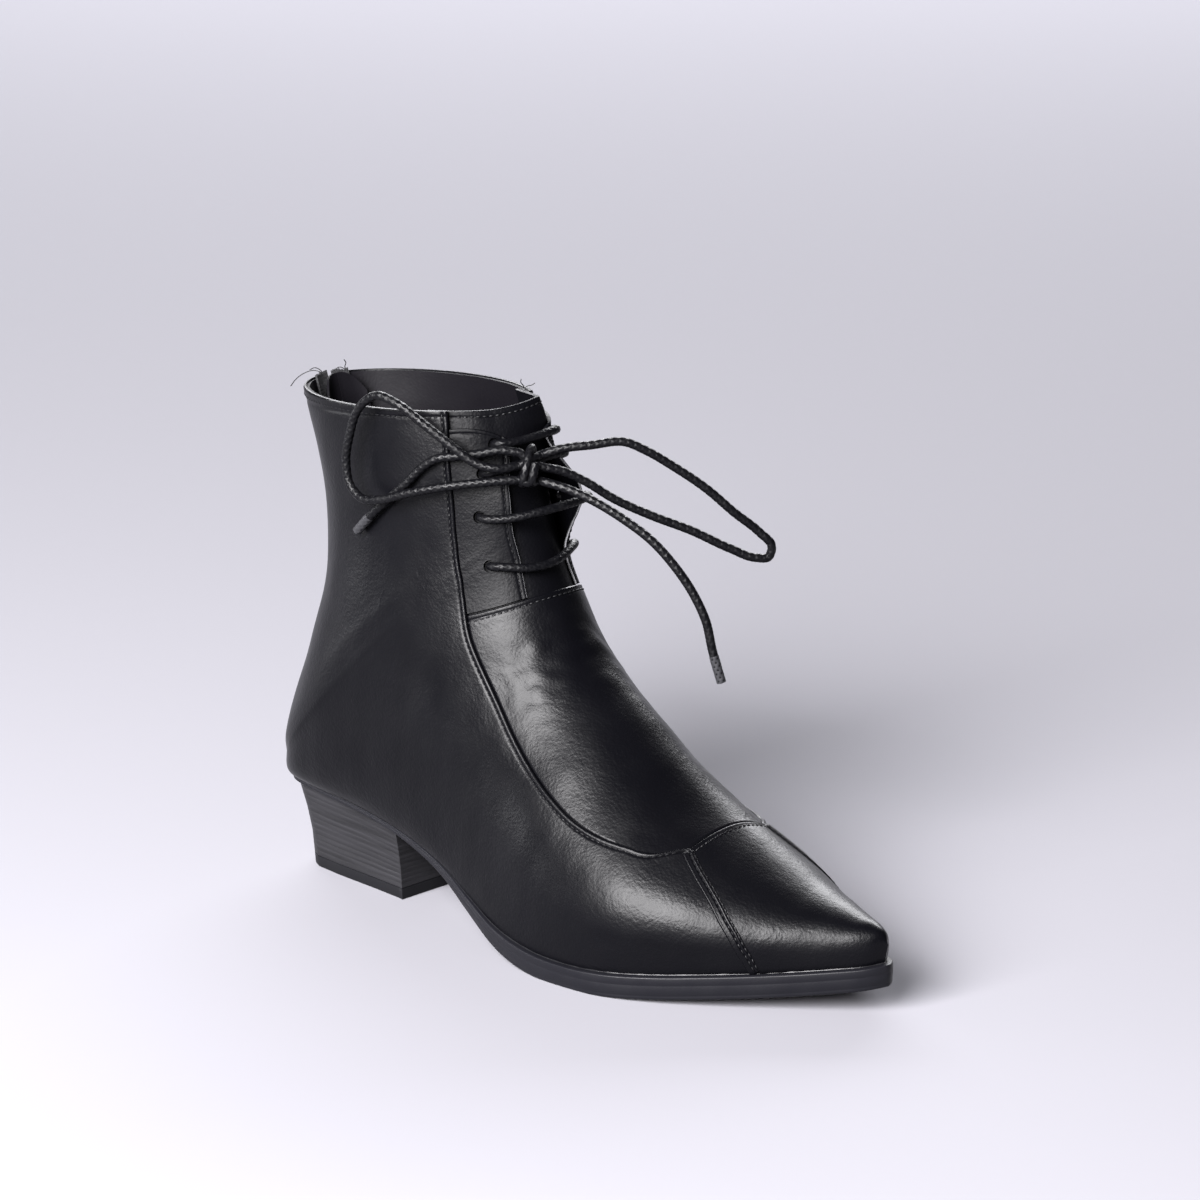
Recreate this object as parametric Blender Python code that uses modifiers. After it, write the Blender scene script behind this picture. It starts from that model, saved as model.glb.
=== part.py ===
"""Lace up ankle boot for the right foot.

A pointed leather boot on a low block heel, with an apron seam that runs from the collar round the
instep, two facings laced over a tongue, a back zip and a tied lace. +X points to the toe, +Y to the
inner side of the foot and +Z up. The boot stands on the ground plane, with the middle of its
footprint at the origin.
"""
import math

import bmesh
import bpy
import numpy as np
from mathutils import Matrix, Vector

MM = 0.001
WELD = 1e-7

# Sizes of the last
LENGTH = 264.0 * MM
BALL_WIDTH = 84.0 * MM
TOE_SPRING = 10.3 * MM
HEEL_LIFT = 27.6 * MM
SHAFT_RISE = 150.9 * MM

# Sizes of the upper
WALL = 2.4 * MM
APRON_STEP = 0.6 * MM
FACING_STEP = 1.0 * MM
TOE_RIB = 0.9 * MM
TOE_RIB_WIDTH = 3.4 * MM
STEP_RUN = 0.3 * MM
FACING_FLARE_OUT = 2.5 * MM
FACING_FLARE_IN = 7.0 * MM
LACE_HOLE = 4.4 * MM
HOLE_SIDES = 12
HOLE_CUT = 3 * WALL

# Sizes inside the upper
GAP = 0.3 * MM
TONGUE_THICKNESS = 1.6 * MM
INSOLE_THICKNESS = 2.2 * MM

# Sizes of the sole and heel
EDGE = 7.7 * MM
LEDGE = 2.4 * MM
SOLE_BEVEL = 0.5 * MM
SOLE_DRAFT = 0.9 * MM
TOP_LIFT = 4.2 * MM
HEEL_TUCK = 0.5 * MM
HEEL_WAIST = 2.0 * MM
HEEL_RAKE = 5.5 * MM
HEEL_DRAFT = 3.2 * MM
HEEL_ROUND = 12.8 * MM

# Sizes of the zip
ZIP_SLOT = 9.0 * MM
ZIP_CHAIN = 5.6 * MM
ZIP_CHAIN_RISE = 1.2 * MM
ZIP_TAPE_THICKNESS = 0.9 * MM
ZIP_MOUTH = 2.6 * MM
ZIP_FOOT_TUCK = 0.6 * MM
GUARD_THICKNESS = 1.0 * MM
GUARD_GAP = 0.8 * MM
GUARD_TOP_TAPER = (0.9, 0.6)
SLIDER_LENGTH = 10.0 * MM
SLIDER_WIDTH = 7.6 * MM
SLIDER_THICKNESS = 2.6 * MM
SLIDER_NOSE = 0.9 * MM
SLIDER_BEVEL = 0.5 * MM
BRIDGE_LENGTH = 5.4 * MM
BRIDGE_HEIGHT = 3.7 * MM
BRIDGE_WIRE = 1.4 * MM
PULL_LENGTH = 21.0 * MM
PULL_WIDTH = 6.4 * MM
PULL_NECK = 5.8 * MM
PULL_CORNER = 1.4 * MM
PULL_THICKNESS = 1.2 * MM
PULL_EYE_LENGTH = 4.2 * MM
PULL_EYE_WIDTH = 3.4 * MM
PULL_EYE_CUT = 3 * PULL_THICKNESS
PULL_HANG = math.radians(15.0)

# Sizes of the lace
LACE = 3.0 * MM
LACE_REST = 0.6 * MM
KNOT = 6.4 * MM
CORD_STEP = 8.5 * MM
CROSSING_POINTS = 11

# Places along the last, as stations of the table below
TOE_PUFF_END = 2.0
TOE_SEAM_FOOT = 3.95
APRON_FRONT = 6.66
THROAT = 14.7
THROAT_BEND = 1.4
FACING_TOP = 27.7
FACING_TOP_BEND = 1.5
BEND_REACH = 3.0
CORNER_POWER = 2.5
FLARE_FROM = 16.0
FLARE_TO = 26.5
TONGUE_FOOT = 13.2
INSOLE_TOE = 2.5
INSOLE_HEEL = 18.0
FEATHER_END = 19.0
ZIP_FOOT = 21.2
ZIP_CLOSE = 21.5
SLIDER_STATION = 27.3
COLLAR = 29.0
BREAST = 13.6

# The last, toe to collar. A station is a flat section from a point on the feather line, or on the
# back line, to a point on the front ridge. x is in lengths, y in ball widths with the inner side
# positive, spring in toe springs, lift in heel lifts, climb and ridge_rise in shaft rises above
# the sole. wide_at is the widest place's share of the section's height, and top_round the power
# of its rounding above that.
LAST_COLUMNS = ("station", "foot_x", "foot_out", "foot_in", "spring", "lift", "climb",
                "ridge_x", "ridge_y", "ridge_rise", "wide_out", "wide_in", "wide_at", "top_round")
LAST_ROWS = (
    (0.0, 1.000, 0.119, 0.119, 1.00, 0.000, 0.000, 1.006, 0.119, 0.046, 0.119, 0.119, 0.40, 2.00),
    (0.6, 0.992, 0.071, 0.157, 0.96, 0.000, 0.000, 0.997, 0.117, 0.075, 0.063, 0.165, 0.40, 2.00),
    (1.2, 0.980, 0.029, 0.188, 0.90, 0.000, 0.000, 0.982, 0.111, 0.093, 0.019, 0.198, 0.38, 2.00),
    (2.0, 0.956, -0.031, 0.229, 0.81, 0.000, 0.000, 0.958, 0.098, 0.109, -0.043, 0.241, 0.36, 2.00),
    (3.0, 0.920, -0.110, 0.281, 0.67, 0.000, 0.000, 0.923, 0.086, 0.135, -0.126, 0.296, 0.34, 2.00),
    (4.0, 0.872, -0.212, 0.338, 0.51, 0.000, 0.000, 0.881, 0.074, 0.168, -0.230, 0.357, 0.33, 1.95),
    (5.0, 0.818, -0.324, 0.390, 0.36, 0.000, 0.000, 0.837, 0.060, 0.211, -0.338, 0.422, 0.32, 1.90),
    (6.0, 0.759, -0.431, 0.426, 0.20, 0.000, 0.000, 0.790, 0.045, 0.264, -0.441, 0.472, 0.31, 1.85),
    (7.0, 0.697, -0.512, 0.438, 0.07, 0.000, 0.000, 0.741, 0.032, 0.320, -0.519, 0.490, 0.30, 1.85),
    (8.0, 0.633, -0.541, 0.418, 0.00, 0.000, 0.000, 0.692, 0.022, 0.377, -0.549, 0.484, 0.30, 1.85),
    (9.0, 0.566, -0.542, 0.371, 0.00, 0.026, 0.000, 0.646, 0.018, 0.432, -0.546, 0.462, 0.31, 1.85),
    (10.0, 0.497, -0.514, 0.326, 0.00, 0.134, 0.000, 0.601, 0.015, 0.478, -0.519, 0.445, 0.33, 1.90),
    (11.0, 0.428, -0.464, 0.298, 0.00, 0.351, 0.000, 0.558, 0.010, 0.497, -0.481, 0.429, 0.36, 1.90),
    (12.0, 0.357, -0.410, 0.293, 0.00, 0.594, 0.000, 0.520, 0.005, 0.510, -0.456, 0.418, 0.38, 1.95),
    (13.0, 0.283, -0.374, 0.305, 0.00, 0.768, 0.000, 0.492, 0.004, 0.537, -0.443, 0.417, 0.41, 1.95),
    (14.5, 0.171, -0.335, 0.321, 0.00, 0.905, 0.000, 0.465, 0.002, 0.595, -0.436, 0.419, 0.45, 2.00),
    (16.0, 0.069, -0.305, 0.308, 0.00, 0.964, 0.000, 0.448, 0.000, 0.649, -0.433, 0.423, 0.48, 2.00),
    (17.0, 0.020, -0.273, 0.278, 0.00, 0.990, 0.000, 0.439, 0.000, 0.682, -0.435, 0.426, 0.49, 2.00),
    (18.0, -0.008, -0.163, 0.168, 0.00, 1.000, 0.000, 0.433, 0.000, 0.707, -0.438, 0.429, 0.50, 2.00),
    (18.5, -0.016, -0.075, 0.078, 0.00, 1.000, 0.001, 0.430, 0.000, 0.720, -0.439, 0.429, 0.50, 2.00),
    (19.0, -0.020, 0.000, 0.000, 0.00, 1.000, 0.004, 0.427, 0.000, 0.734, -0.440, 0.429, 0.50, 2.00),
    (19.5, -0.029, 0.000, 0.000, 0.00, 1.000, 0.030, 0.425, 0.000, 0.747, -0.437, 0.427, 0.50, 2.00),
    (20.0, -0.033, 0.000, 0.000, 0.00, 1.000, 0.076, 0.423, 0.000, 0.760, -0.433, 0.424, 0.50, 2.00),
    (21.0, -0.025, 0.000, 0.000, 0.00, 1.000, 0.149, 0.420, 0.000, 0.789, -0.421, 0.415, 0.50, 2.00),
    (22.5, 0.008, 0.000, 0.000, 0.00, 1.000, 0.295, 0.414, 0.000, 0.832, -0.403, 0.400, 0.50, 2.00),
    (24.0, 0.039, 0.000, 0.000, 0.00, 1.000, 0.453, 0.406, 0.000, 0.874, -0.390, 0.390, 0.50, 2.00),
    (26.0, 0.047, 0.000, 0.000, 0.00, 1.000, 0.662, 0.395, 0.000, 0.930, -0.382, 0.379, 0.50, 2.00),
    (27.5, 0.028, 0.000, 0.000, 0.00, 1.000, 0.819, 0.387, 0.000, 0.967, -0.381, 0.371, 0.50, 2.00),
    (29.0, 0.001, 0.000, 0.000, 0.00, 1.000, 0.962, 0.378, 0.000, 1.000, -0.381, 0.364, 0.50, 2.00),
)

# The power of a section's rounding below its widest place, fuller round the heel
HEEL_COLUMNS = ("station", "round")
HEEL_ROWS = (
    (13.0, 2.00),
    (14.5, 2.00),
    (16.0, 2.38),
    (17.0, 2.20),
    (18.0, 2.37),
    (18.5, 2.58),
    (19.0, 2.75),
    (19.5, 2.54),
    (20.0, 2.20),
    (21.0, 2.00),
    (22.5, 2.00),
)

# Shares of the way round a section, from the ridge: its widest place, and beside the back line
WIDEST = 0.62
BACK_SHARE = 0.99

# How near the sheet's edges a normal is read, and the steps in share and station it is read over
NORMAL_END_FOOT = 0.955
NORMAL_END_BACK = 0.992
NORMAL_FIRST = 0.35
NORMAL_LAST = 28.95
NORMAL_STEPS = (0.04, 0.004)

# The share either side over which a width in metres is turned into a share, and how near two stations
# are to be the same
SHARE_REACH = 0.01
SAME_STATION = 1e-6

# The seam that runs down the side, round the apron's front and along the toe, with the facing's
# edge at the slit, both as shares of the way round from the ridge to the feather or back line
SEAM_COLUMNS = ("station", "seam", "slit")
SEAM_ROWS = (
    (0.0, 0.930, 0.13),
    (3.95, 0.930, 0.13),
    (4.2, 0.650, 0.13),
    (4.7, 0.455, 0.13),
    (5.6, 0.305, 0.13),
    (6.66, 0.205, 0.10),
    (7.1, 0.285, 0.13),
    (7.75, 0.325, 0.13),
    (9.0, 0.375, 0.14),
    (10.65, 0.400, 0.15),
    (13.0, 0.375, 0.15),
    (14.85, 0.362, 0.15),
    (17.0, 0.325, 0.13),
    (20.0, 0.310, 0.13),
    (22.5, 0.328, 0.13),
    (25.2, 0.340, 0.095),
    (29.0, 0.305, 0.090),
)

# The sole: how much of the ledge stands out, and the share of the edge's height
SOLE_COLUMNS = ("station", "ledge", "edge")
SOLE_ROWS = (
    (0.0, 1.00, 1.00),
    (8.0, 1.00, 1.00),
    (9.5, 0.85, 0.95),
    (10.5, 0.60, 0.78),
    (11.5, 0.40, 0.58),
    (12.5, 0.28, 0.42),
    (13.6, 0.22, 0.31),
    (15.0, 0.20, 0.28),
    (19.0, 0.20, 0.28),
)

# The heel block's levels: share of its height, and share of its draft and rake left to go
HEEL_LEVELS = ((1.0, 1.0), (0.62, 0.48), (0.30, 0.17), (0.0, 0.05))

# Stations of the upper's rows, and its columns from the seam to the feather or back line
ROWS = (0.0, 0.3, 0.6, 0.9, 1.2, 1.6, 2.0, 2.5, 3.0, 3.5, 3.95, 4.2, 4.7, 5.15, 5.6, 6.1, 6.5,
        6.63, 6.69, 7.1, 7.75, 8.5, 9.3, 10.2, 11.2, 12.2, 13.2, 14.0, 14.67, 14.73, 15.5, 16.4,
        17.2, 18.0, 18.5, 19.0, 19.5, 20.2, 21.2, 21.5, 21.8, 22.7, 23.7,
        24.7, 25.7, 26.5, 27.3, 27.7, 28.4, 29.0)
COLUMNS_BEHIND = (0.14, 0.30, 0.46, 0.61, 0.74, 0.84, 0.92, 1.0)
COLUMNS_FACING = (0.36, 0.70)

# Most of the way from the seam to the feather line that the toe rib's half and its side may take,
# and the shares between which the rib runs out above the feather line
RIB_MOST = 0.45
RUN_MOST = 0.1
RIB_FADE = (0.7, 0.9)

# The lace's rows of holes, bottom to top: station, share round, sag of the crossing in stations
LACE_ROWS = (
    (17.7, 0.225, 0.9),
    (21.6, 0.235, 0.7),
    (24.3, 0.215, 0.0),
    (26.0, 0.150, 0.0),
)

# The free lace's routes in millimetres, along the last from its heel point, out and up
CORD_ROUTES = {
    "lace_knot": ((113.0, -6.5, 172.5), (114.0, -7.8, 169.5), (115.0, -8.8, 166.5), (115.5, -9.2, 163.5)),
    "lace_loop_outer": (
        (113.0, -12.2, 168.5), (109.5, -18.5, 168.0), (103.5, -23.0, 169.5), (97.0, -27.0, 174.5),
        (86.5, -31.5, 182.0), (76.5, -35.0, 188.5), (68.0, -37.0, 190.5), (61.0, -38.5, 185.5),
        (56.5, -39.5, 174.5), (54.5, -39.5, 164.5), (56.5, -39.5, 156.5), (62.0, -39.5, 153.0),
        (71.5, -38.5, 154.0), (81.5, -36.0, 157.5), (94.0, -30.5, 161.0), (104.5, -23.5, 163.0),
        (111.0, -17.5, 163.8), (114.5, -13.4, 164.0)),
    "lace_end_outer": (
        (111.5, -10.8, 172.8), (107.0, -15.0, 173.5), (100.5, -20.0, 172.0), (95.0, -24.0, 171.0),
        (88.0, -28.0, 169.5), (82.5, -30.0, 165.5), (77.5, -32.0, 160.0), (70.0, -34.0, 153.0),
        (61.0, -35.0, 145.0), (54.0, -34.5, 138.5)),
    "lace_loop_inner": (
        (116.0, -3.6, 171.6), (120.5, 0.5, 173.5), (128.0, 8.0, 174.8), (136.0, 17.5, 175.5),
        (140.5, 22.5, 172.5), (147.0, 30.5, 166.0), (154.0, 39.0, 158.0), (160.5, 46.5, 149.0),
        (166.0, 53.5, 141.5), (169.0, 56.5, 136.5), (168.0, 56.0, 132.5), (165.0, 52.0, 132.5),
        (159.5, 45.5, 136.0), (150.5, 35.0, 143.0), (141.5, 24.0, 149.0), (133.0, 14.0, 155.5),
        (126.5, 6.5, 162.0), (121.5, 0.0, 166.0), (118.0, -4.6, 167.4)),
    "lace_end_inner": (
        (118.3, -6.8, 163.1), (126.0, -3.5, 161.5), (133.5, 0.5, 158.5), (145.0, 7.0, 151.5),
        (153.5, 12.0, 144.5), (160.5, 16.0, 136.0), (166.5, 19.5, 126.0), (170.5, 21.5, 116.5),
        (172.5, 22.5, 106.5), (175.5, 24.0, 95.0)),
}

# Each finish: its colour, roughness and metallic share
FINISHES = {
    "black_leather": ((0.012, 0.012, 0.013), 0.38, 0.0),
    "tongue_leather": ((0.014, 0.014, 0.015), 0.42, 0.0),
    "guard_leather": ((0.014, 0.014, 0.015), 0.45, 0.0),
    "insole_board": ((0.020, 0.020, 0.020), 0.70, 0.0),
    "sole_rubber": ((0.030, 0.030, 0.032), 0.50, 0.0),
    "heel_stack": ((0.035, 0.034, 0.035), 0.60, 0.0),
    "lift_rubber": ((0.020, 0.020, 0.021), 0.65, 0.0),
    "zip_cloth": ((0.015, 0.015, 0.016), 0.80, 0.0),
    "zip_metal": ((0.080, 0.080, 0.085), 0.35, 1.0),
    "pull_metal": ((0.080, 0.080, 0.085), 0.35, 1.0),
    "lace_cord": ((0.014, 0.014, 0.014), 0.55, 0.0),
}


def curve_through(stations, values):
    """A smooth curve through the values, as a function of the station."""
    xs = np.asarray(stations, float)
    ys = np.asarray(values, float)
    step = np.diff(xs)
    rise = np.diff(ys) / step
    slope = np.empty_like(ys)
    slope[0] = rise[0]
    slope[-1] = rise[-1]
    slope[1:-1] = (rise[:-1] * step[1:] + rise[1:] * step[:-1]) / (step[:-1] + step[1:])

    def value(x):
        x = np.clip(np.asarray(x, float), xs[0], xs[-1])
        i = np.clip(np.searchsorted(xs, x, side="right") - 1, 0, len(xs) - 2)
        t = (x - xs[i]) / step[i]
        ahead = t * t * (3 - 2 * t)
        return (ys[i] * (1 - ahead) + ys[i + 1] * ahead
                + t * (1 - t) * (1 - t) * step[i] * slope[i] - t * t * (1 - t) * step[i] * slope[i + 1])

    return value


def columns(names, rows):
    """Each column of a table as a curve over its first column."""
    table = np.array(rows)
    return {name: curve_through(table[:, 0], table[:, k]) for k, name in enumerate(names) if k}


LAST = columns(LAST_COLUMNS, LAST_ROWS)
HEEL = columns(HEEL_COLUMNS, HEEL_ROWS)
SOLE = columns(SOLE_COLUMNS, SOLE_ROWS)
SEAM = np.array(SEAM_ROWS)


def seam_share(station):
    return np.interp(station, SEAM[:, 0], SEAM[:, 1])


def slit_share(station):
    return np.interp(station, SEAM[:, 0], SEAM[:, 2])


def sole_height(station):
    """Height of the feather line over the ground, with no climb up the back."""
    return EDGE + LAST["spring"](station) * TOE_SPRING + LAST["lift"](station) * HEEL_LIFT


def skin(station, share):
    """A point of the outer form. share runs from -1, outer side, over the ridge at 0, to 1."""
    u, v = np.broadcast_arrays(np.asarray(station, float), np.asarray(share, float))
    ground = sole_height(u)
    foot_x = LAST["foot_x"](u) * LENGTH
    foot_z = ground + LAST["climb"](u) * SHAFT_RISE
    ridge_x = LAST["ridge_x"](u) * LENGTH
    ridge_z = ground + LAST["ridge_rise"](u) * SHAFT_RISE
    ridge_y = LAST["ridge_y"](u) * BALL_WIDTH
    foot_y = np.where(v > 0, LAST["foot_in"](u), LAST["foot_out"](u)) * BALL_WIDTH
    wide_y = np.where(v > 0, LAST["wide_in"](u), LAST["wide_out"](u)) * BALL_WIDTH
    wide_at = LAST["wide_at"](u)
    power = 2 / LAST["top_round"](u)
    low_power = 2 / HEEL["round"](u)
    around = np.abs(v)
    above = np.clip(around / WIDEST, 0, 1) * math.pi / 2
    below = np.clip((around - WIDEST) / (1 - WIDEST), 0, 1) * math.pi / 2
    cos_above = np.maximum(np.cos(above), 0)
    cos_below = np.maximum(np.cos(below), 0)
    high = around <= WIDEST
    up = np.where(high, wide_at + (1 - wide_at) * cos_above ** power,
                  wide_at * (1 - np.sin(below) ** low_power))
    y = np.where(high, ridge_y + (wide_y - ridge_y) * np.sin(above) ** power,
                 foot_y + (wide_y - foot_y) * cos_below ** low_power)
    return np.stack([foot_x + (ridge_x - foot_x) * up, y, foot_z + (ridge_z - foot_z) * up], -1)


def outward(station, share):
    """The outward normal, read a little inside the sheet's edges, where it is well defined."""
    u, v = np.broadcast_arrays(np.asarray(station, float), np.asarray(share, float))
    limit = np.where(u < FEATHER_END, NORMAL_END_FOOT, NORMAL_END_BACK)
    v = np.clip(v, -limit, limit)
    u = np.clip(u, NORMAL_FIRST, NORMAL_LAST)
    du, dv = NORMAL_STEPS
    along = skin(u + du, v) - skin(u - du, v)
    across = skin(u, v + dv) - skin(u, v - dv)
    normal = np.cross(across, along)
    return normal / np.linalg.norm(normal, axis=-1, keepdims=True)


def flare(station, share):
    """How far a facing bulges off the tongue towards the slit."""
    station, share = np.broadcast_arrays(station, share)
    along = np.clip((station - FLARE_FROM) / (FLARE_TO - FLARE_FROM), 0, 1)
    seam = seam_share(station)
    near = np.clip((seam - np.abs(share)) / (seam - slit_share(station)), 0, 1)
    most = np.where(share > 0, FACING_FLARE_IN, FACING_FLARE_OUT)
    return most * np.sin(math.pi * along) ** 2 * near * near


def facing_bend(station, share):
    """Shift of a row over the apron and facings, which curves the apron's and facings' ends."""
    seam = seam_share(station)
    slit = slit_share(station)
    around = np.abs(share)
    inside = np.clip(around / seam, 0, 1) ** 2
    outside = 1 - (around - seam) / (1 - seam)
    at_throat = np.clip(1 - np.abs(station - THROAT) / BEND_REACH, 0, 1)
    throat = THROAT_BEND * np.where(around > seam, outside, inside) * at_throat
    near = np.clip((seam - around) / (seam - slit), 0, 1)
    at_top = np.clip(1 - np.abs(station - FACING_TOP) / BEND_REACH, 0, 1)
    top = FACING_TOP_BEND * near ** CORNER_POWER * at_top
    top = np.where(station > FACING_TOP, top * (COLLAR - station) / (COLLAR - FACING_TOP), top)
    return throat - top


def millimetres_round(station, share, length):
    """The share round the section that a length covers there."""
    reach = SHARE_REACH
    inner = np.clip(share - reach, 0, 1)
    outer = np.clip(share + reach, 0, 1)
    run = np.linalg.norm(skin(station, -outer) - skin(station, -inner), axis=-1)
    return length * (outer - inner) / run


def zip_half(station):
    """Half the zip's slot at a station, in shares round the section."""
    opening = np.clip((station - ZIP_FOOT) / (ZIP_CLOSE - ZIP_FOOT), 0, 1)
    return opening * millimetres_round(station, BACK_SHARE, ZIP_SLOT / 2)


def side_shares(station):
    """Column shares of one side at a station, ridge to feather, and the seam's column numbers."""
    seam = float(seam_share(station))
    slit = float(slit_share(station))
    half = float(millimetres_round(station, seam, TOE_RIB_WIDTH / 2))
    run = float(millimetres_round(station, seam, STEP_RUN))
    half = min(half, RIB_MOST * (1 - seam))
    run = min(run, RUN_MOST * (1 - seam))
    end = 1 - float(zip_half(station))
    shares = [0.0, slit / 2, slit]
    shares += [slit + (seam - half - slit) * k for k in COLUMNS_FACING]
    shares += [seam - half, seam - half + run, seam + half - run, seam + half]
    shares += [seam + half + (end - seam - half) * k for k in COLUMNS_BEHIND]
    return shares


def side_layout():
    """Column numbers of one side: at the slit, at the seam's edge, past its step, and the last."""
    slit_at = 2
    seam_at = slit_at + 1 + len(COLUMNS_FACING)
    step_at = seam_at + 1
    return slit_at, seam_at, step_at, step_at + 2 + len(COLUMNS_BEHIND)


def master_grid():
    """Stations and shares of every row and column of the upper, which the tongue shares."""
    shares = np.array([side_shares(row) for row in ROWS])
    shares = np.concatenate([-shares[:, :0:-1], shares], axis=1)
    stations = np.repeat(np.array(ROWS)[:, None], shares.shape[1], axis=1)
    return stations + facing_bend(stations, shares), shares


def row_of(station):
    """The first row at or past a station."""
    return next(k for k, row in enumerate(ROWS) if row >= station - SAME_STATION)


def upper_relief():
    """Offset of the upper's outer face from the outer form, per row and column."""
    stations, shares = master_grid()
    _, seam_at, _, middle = side_layout()
    column = np.abs(np.arange(shares.shape[1]) - middle)
    row = np.array(ROWS)[:, None]
    relief = np.zeros_like(shares)
    in_facing = (row > THROAT) & (column <= seam_at)
    relief[(row > APRON_FRONT) & (row < THROAT) & (column <= seam_at)] = -APRON_STEP
    relief[in_facing] = -FACING_STEP
    on_rib = (row > TOE_SEAM_FOOT) & (row < APRON_FRONT) & (column > seam_at) & (column < seam_at + 3)
    fade = 1 - np.interp(np.abs(shares), RIB_FADE, (0, 1))
    relief = np.where(on_rib, TOE_RIB * fade, relief)
    bulge = np.where(in_facing, flare(stations, shares), 0)
    return relief, bulge


def new_material(name, colour, roughness, metallic):
    material = bpy.data.materials.new(name)
    material.use_nodes = True
    shader = material.node_tree.nodes["Principled BSDF"]
    shader.inputs["Base Color"].default_value = (*colour, 1.0)
    shader.inputs["Roughness"].default_value = roughness
    shader.inputs["Metallic"].default_value = metallic
    return material


def add_object(name, mesh, material, collection):
    """An object of a finished mesh, with its own material, in a collection."""
    item = bpy.data.objects.new(name, mesh)
    mesh.materials.clear()
    mesh.materials.append(material)
    mesh.shade_smooth()
    mesh.set_sharp_from_angle(angle=math.radians(32))
    collection.objects.link(item)
    return item


def closed_mesh(name, points, faces):
    """A mesh with coincident points welded, and faces that meet back to back taken out."""
    keys = {}
    merged = []
    lookup = []
    for point in points:
        key = tuple(int(round(c / WELD)) for c in point)
        if key not in keys:
            keys[key] = len(merged)
            merged.append(Vector(point))
        lookup.append(keys[key])
    kept = {}
    for face in faces:
        ring = []
        for index in (lookup[k] for k in face):
            if not ring or ring[-1] != index:
                ring.append(index)
        if len(ring) > 1 and ring[0] == ring[-1]:
            ring.pop()
        if len(set(ring)) < 3 or len(set(ring)) != len(ring):
            continue
        group = frozenset(ring)
        if group in kept:
            del kept[group]
        else:
            kept[group] = ring
    form = bmesh.new()
    vertices = [form.verts.new(point) for point in merged]
    for ring in kept.values():
        form.faces.new([vertices[k] for k in ring])
    loose = [vertex for vertex in form.verts if not vertex.link_faces]
    bmesh.ops.delete(form, geom=loose, context="VERTS")
    bmesh.ops.triangulate(form, faces=[face for face in form.faces if len(face.verts) > 3],
                          quad_method="SHORT_EDGE")
    mesh = bpy.data.meshes.new(name)
    form.to_mesh(mesh)
    form.free()
    return mesh


def shell(name, outer, inner, keep=None):
    """A wall between two grids of points, with a rim along every free edge of the kept cells."""
    rows, cols = outer.shape[:2]
    keep = np.ones((rows - 1, cols - 1), bool) if keep is None else keep
    count = rows * cols
    points = np.concatenate([outer.reshape(-1, 3), inner.reshape(-1, 3)])
    faces = []
    edges = {}
    for i in range(rows - 1):
        for j in range(cols - 1):
            if keep[i, j]:
                ring = [i * cols + j, i * cols + j + 1, (i + 1) * cols + j + 1, (i + 1) * cols + j]
                faces.append(ring)
                faces.append([k + count for k in reversed(ring)])
                for a, b in zip(ring, ring[1:] + ring[:1]):
                    edges[(a, b)] = True
    for a, b in edges:
        if (b, a) not in edges:
            faces.append([b, a, a + count, b + count])
    return closed_mesh(name, points, faces)


def ring_solid(name, rings):
    """A solid through rings of points from top to bottom, each ring the same on both halves."""
    count = len(rings[0])
    points = np.concatenate(rings)
    faces = []
    for level in range(len(rings) - 1):
        top = level * count
        for k in range(count):
            after = (k + 1) % count
            faces.append([top + k, top + count + k, top + count + after, top + after])
    last = (len(rings) - 1) * count
    for k in range(count // 2 - 1 + count % 2):
        mate = count - 1 - k
        faces.append([k, k + 1, mate - 1, mate])
        faces.append([last + mate, last + mate - 1, last + k + 1, last + k])
    return closed_mesh(name, points, faces)


def tube(name, points, diameter, material, collection):
    """A round cord through the given points, as a curve with closed ends."""
    curve = bpy.data.curves.new(name, "CURVE")
    curve.dimensions = "3D"
    curve.bevel_depth = diameter / 2
    curve.bevel_resolution = 2
    curve.use_fill_caps = True
    spline = curve.splines.new("POLY")
    spline.points.add(len(points) - 1)
    for target, point in zip(spline.points, points):
        target.co = (*point, 1.0)
    curve.materials.append(material)
    item = bpy.data.objects.new(name, curve)
    collection.objects.link(item)
    return item


def smooth_route(points, spacing):
    """Points at even steps along a smooth curve through a route's own points."""
    points = np.asarray(points, float)
    chord = np.concatenate([[0], np.cumsum(np.linalg.norm(np.diff(points, axis=0), axis=1))])
    axes = [curve_through(chord, points[:, k]) for k in range(3)]
    count = max(2, int(round(chord[-1] / spacing)) + 1)
    at = np.linspace(0, chord[-1], count)
    return np.stack([axis(at) for axis in axes], -1)


def make_upper(material, collection, cutters):
    stations, shares = master_grid()
    relief, bulge = upper_relief()
    base = skin(stations, shares)
    normal = outward(stations, shares)
    outer = base + normal * (relief + bulge)[..., None]
    inner = base + normal * (bulge - WALL)[..., None]
    row = np.array(ROWS)
    joined = (row >= FEATHER_END) & (row <= ZIP_FOOT)
    for grid in (outer, inner):
        middle = (grid[joined, 0] + grid[joined, -1]) / 2
        grid[joined, 0] = middle
        grid[joined, -1] = middle
    outer[0] = (outer[0] + outer[0, ::-1]) / 2
    puff = row_of(TOE_PUFF_END)
    inner[:puff] = ((inner[puff] + inner[puff, ::-1]) / 2)[None]
    slit_at, _, step_at, last_at = side_layout()
    column = np.abs(np.arange(shares.shape[1]) - last_at)
    cell = np.minimum(column[:-1], column[1:])
    first = row[:-1, None]
    slit = (first > THROAT) & (cell < slit_at)
    band = (first >= FACING_TOP) & (cell < step_at)
    mesh = shell("upper", outer, inner, ~(slit | band))
    upper = add_object("upper", mesh, material, collection)
    boolean(upper, "DIFFERENCE", lace_hole_cutter(cutters))
    return upper


def facing_point(station, share, height):
    """A point over a facing, its height measured from the facing's outer face."""
    lift = flare(station, share) - FACING_STEP + height
    return skin(station, share) + outward(station, share) * np.asarray(lift)[..., None]


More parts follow.
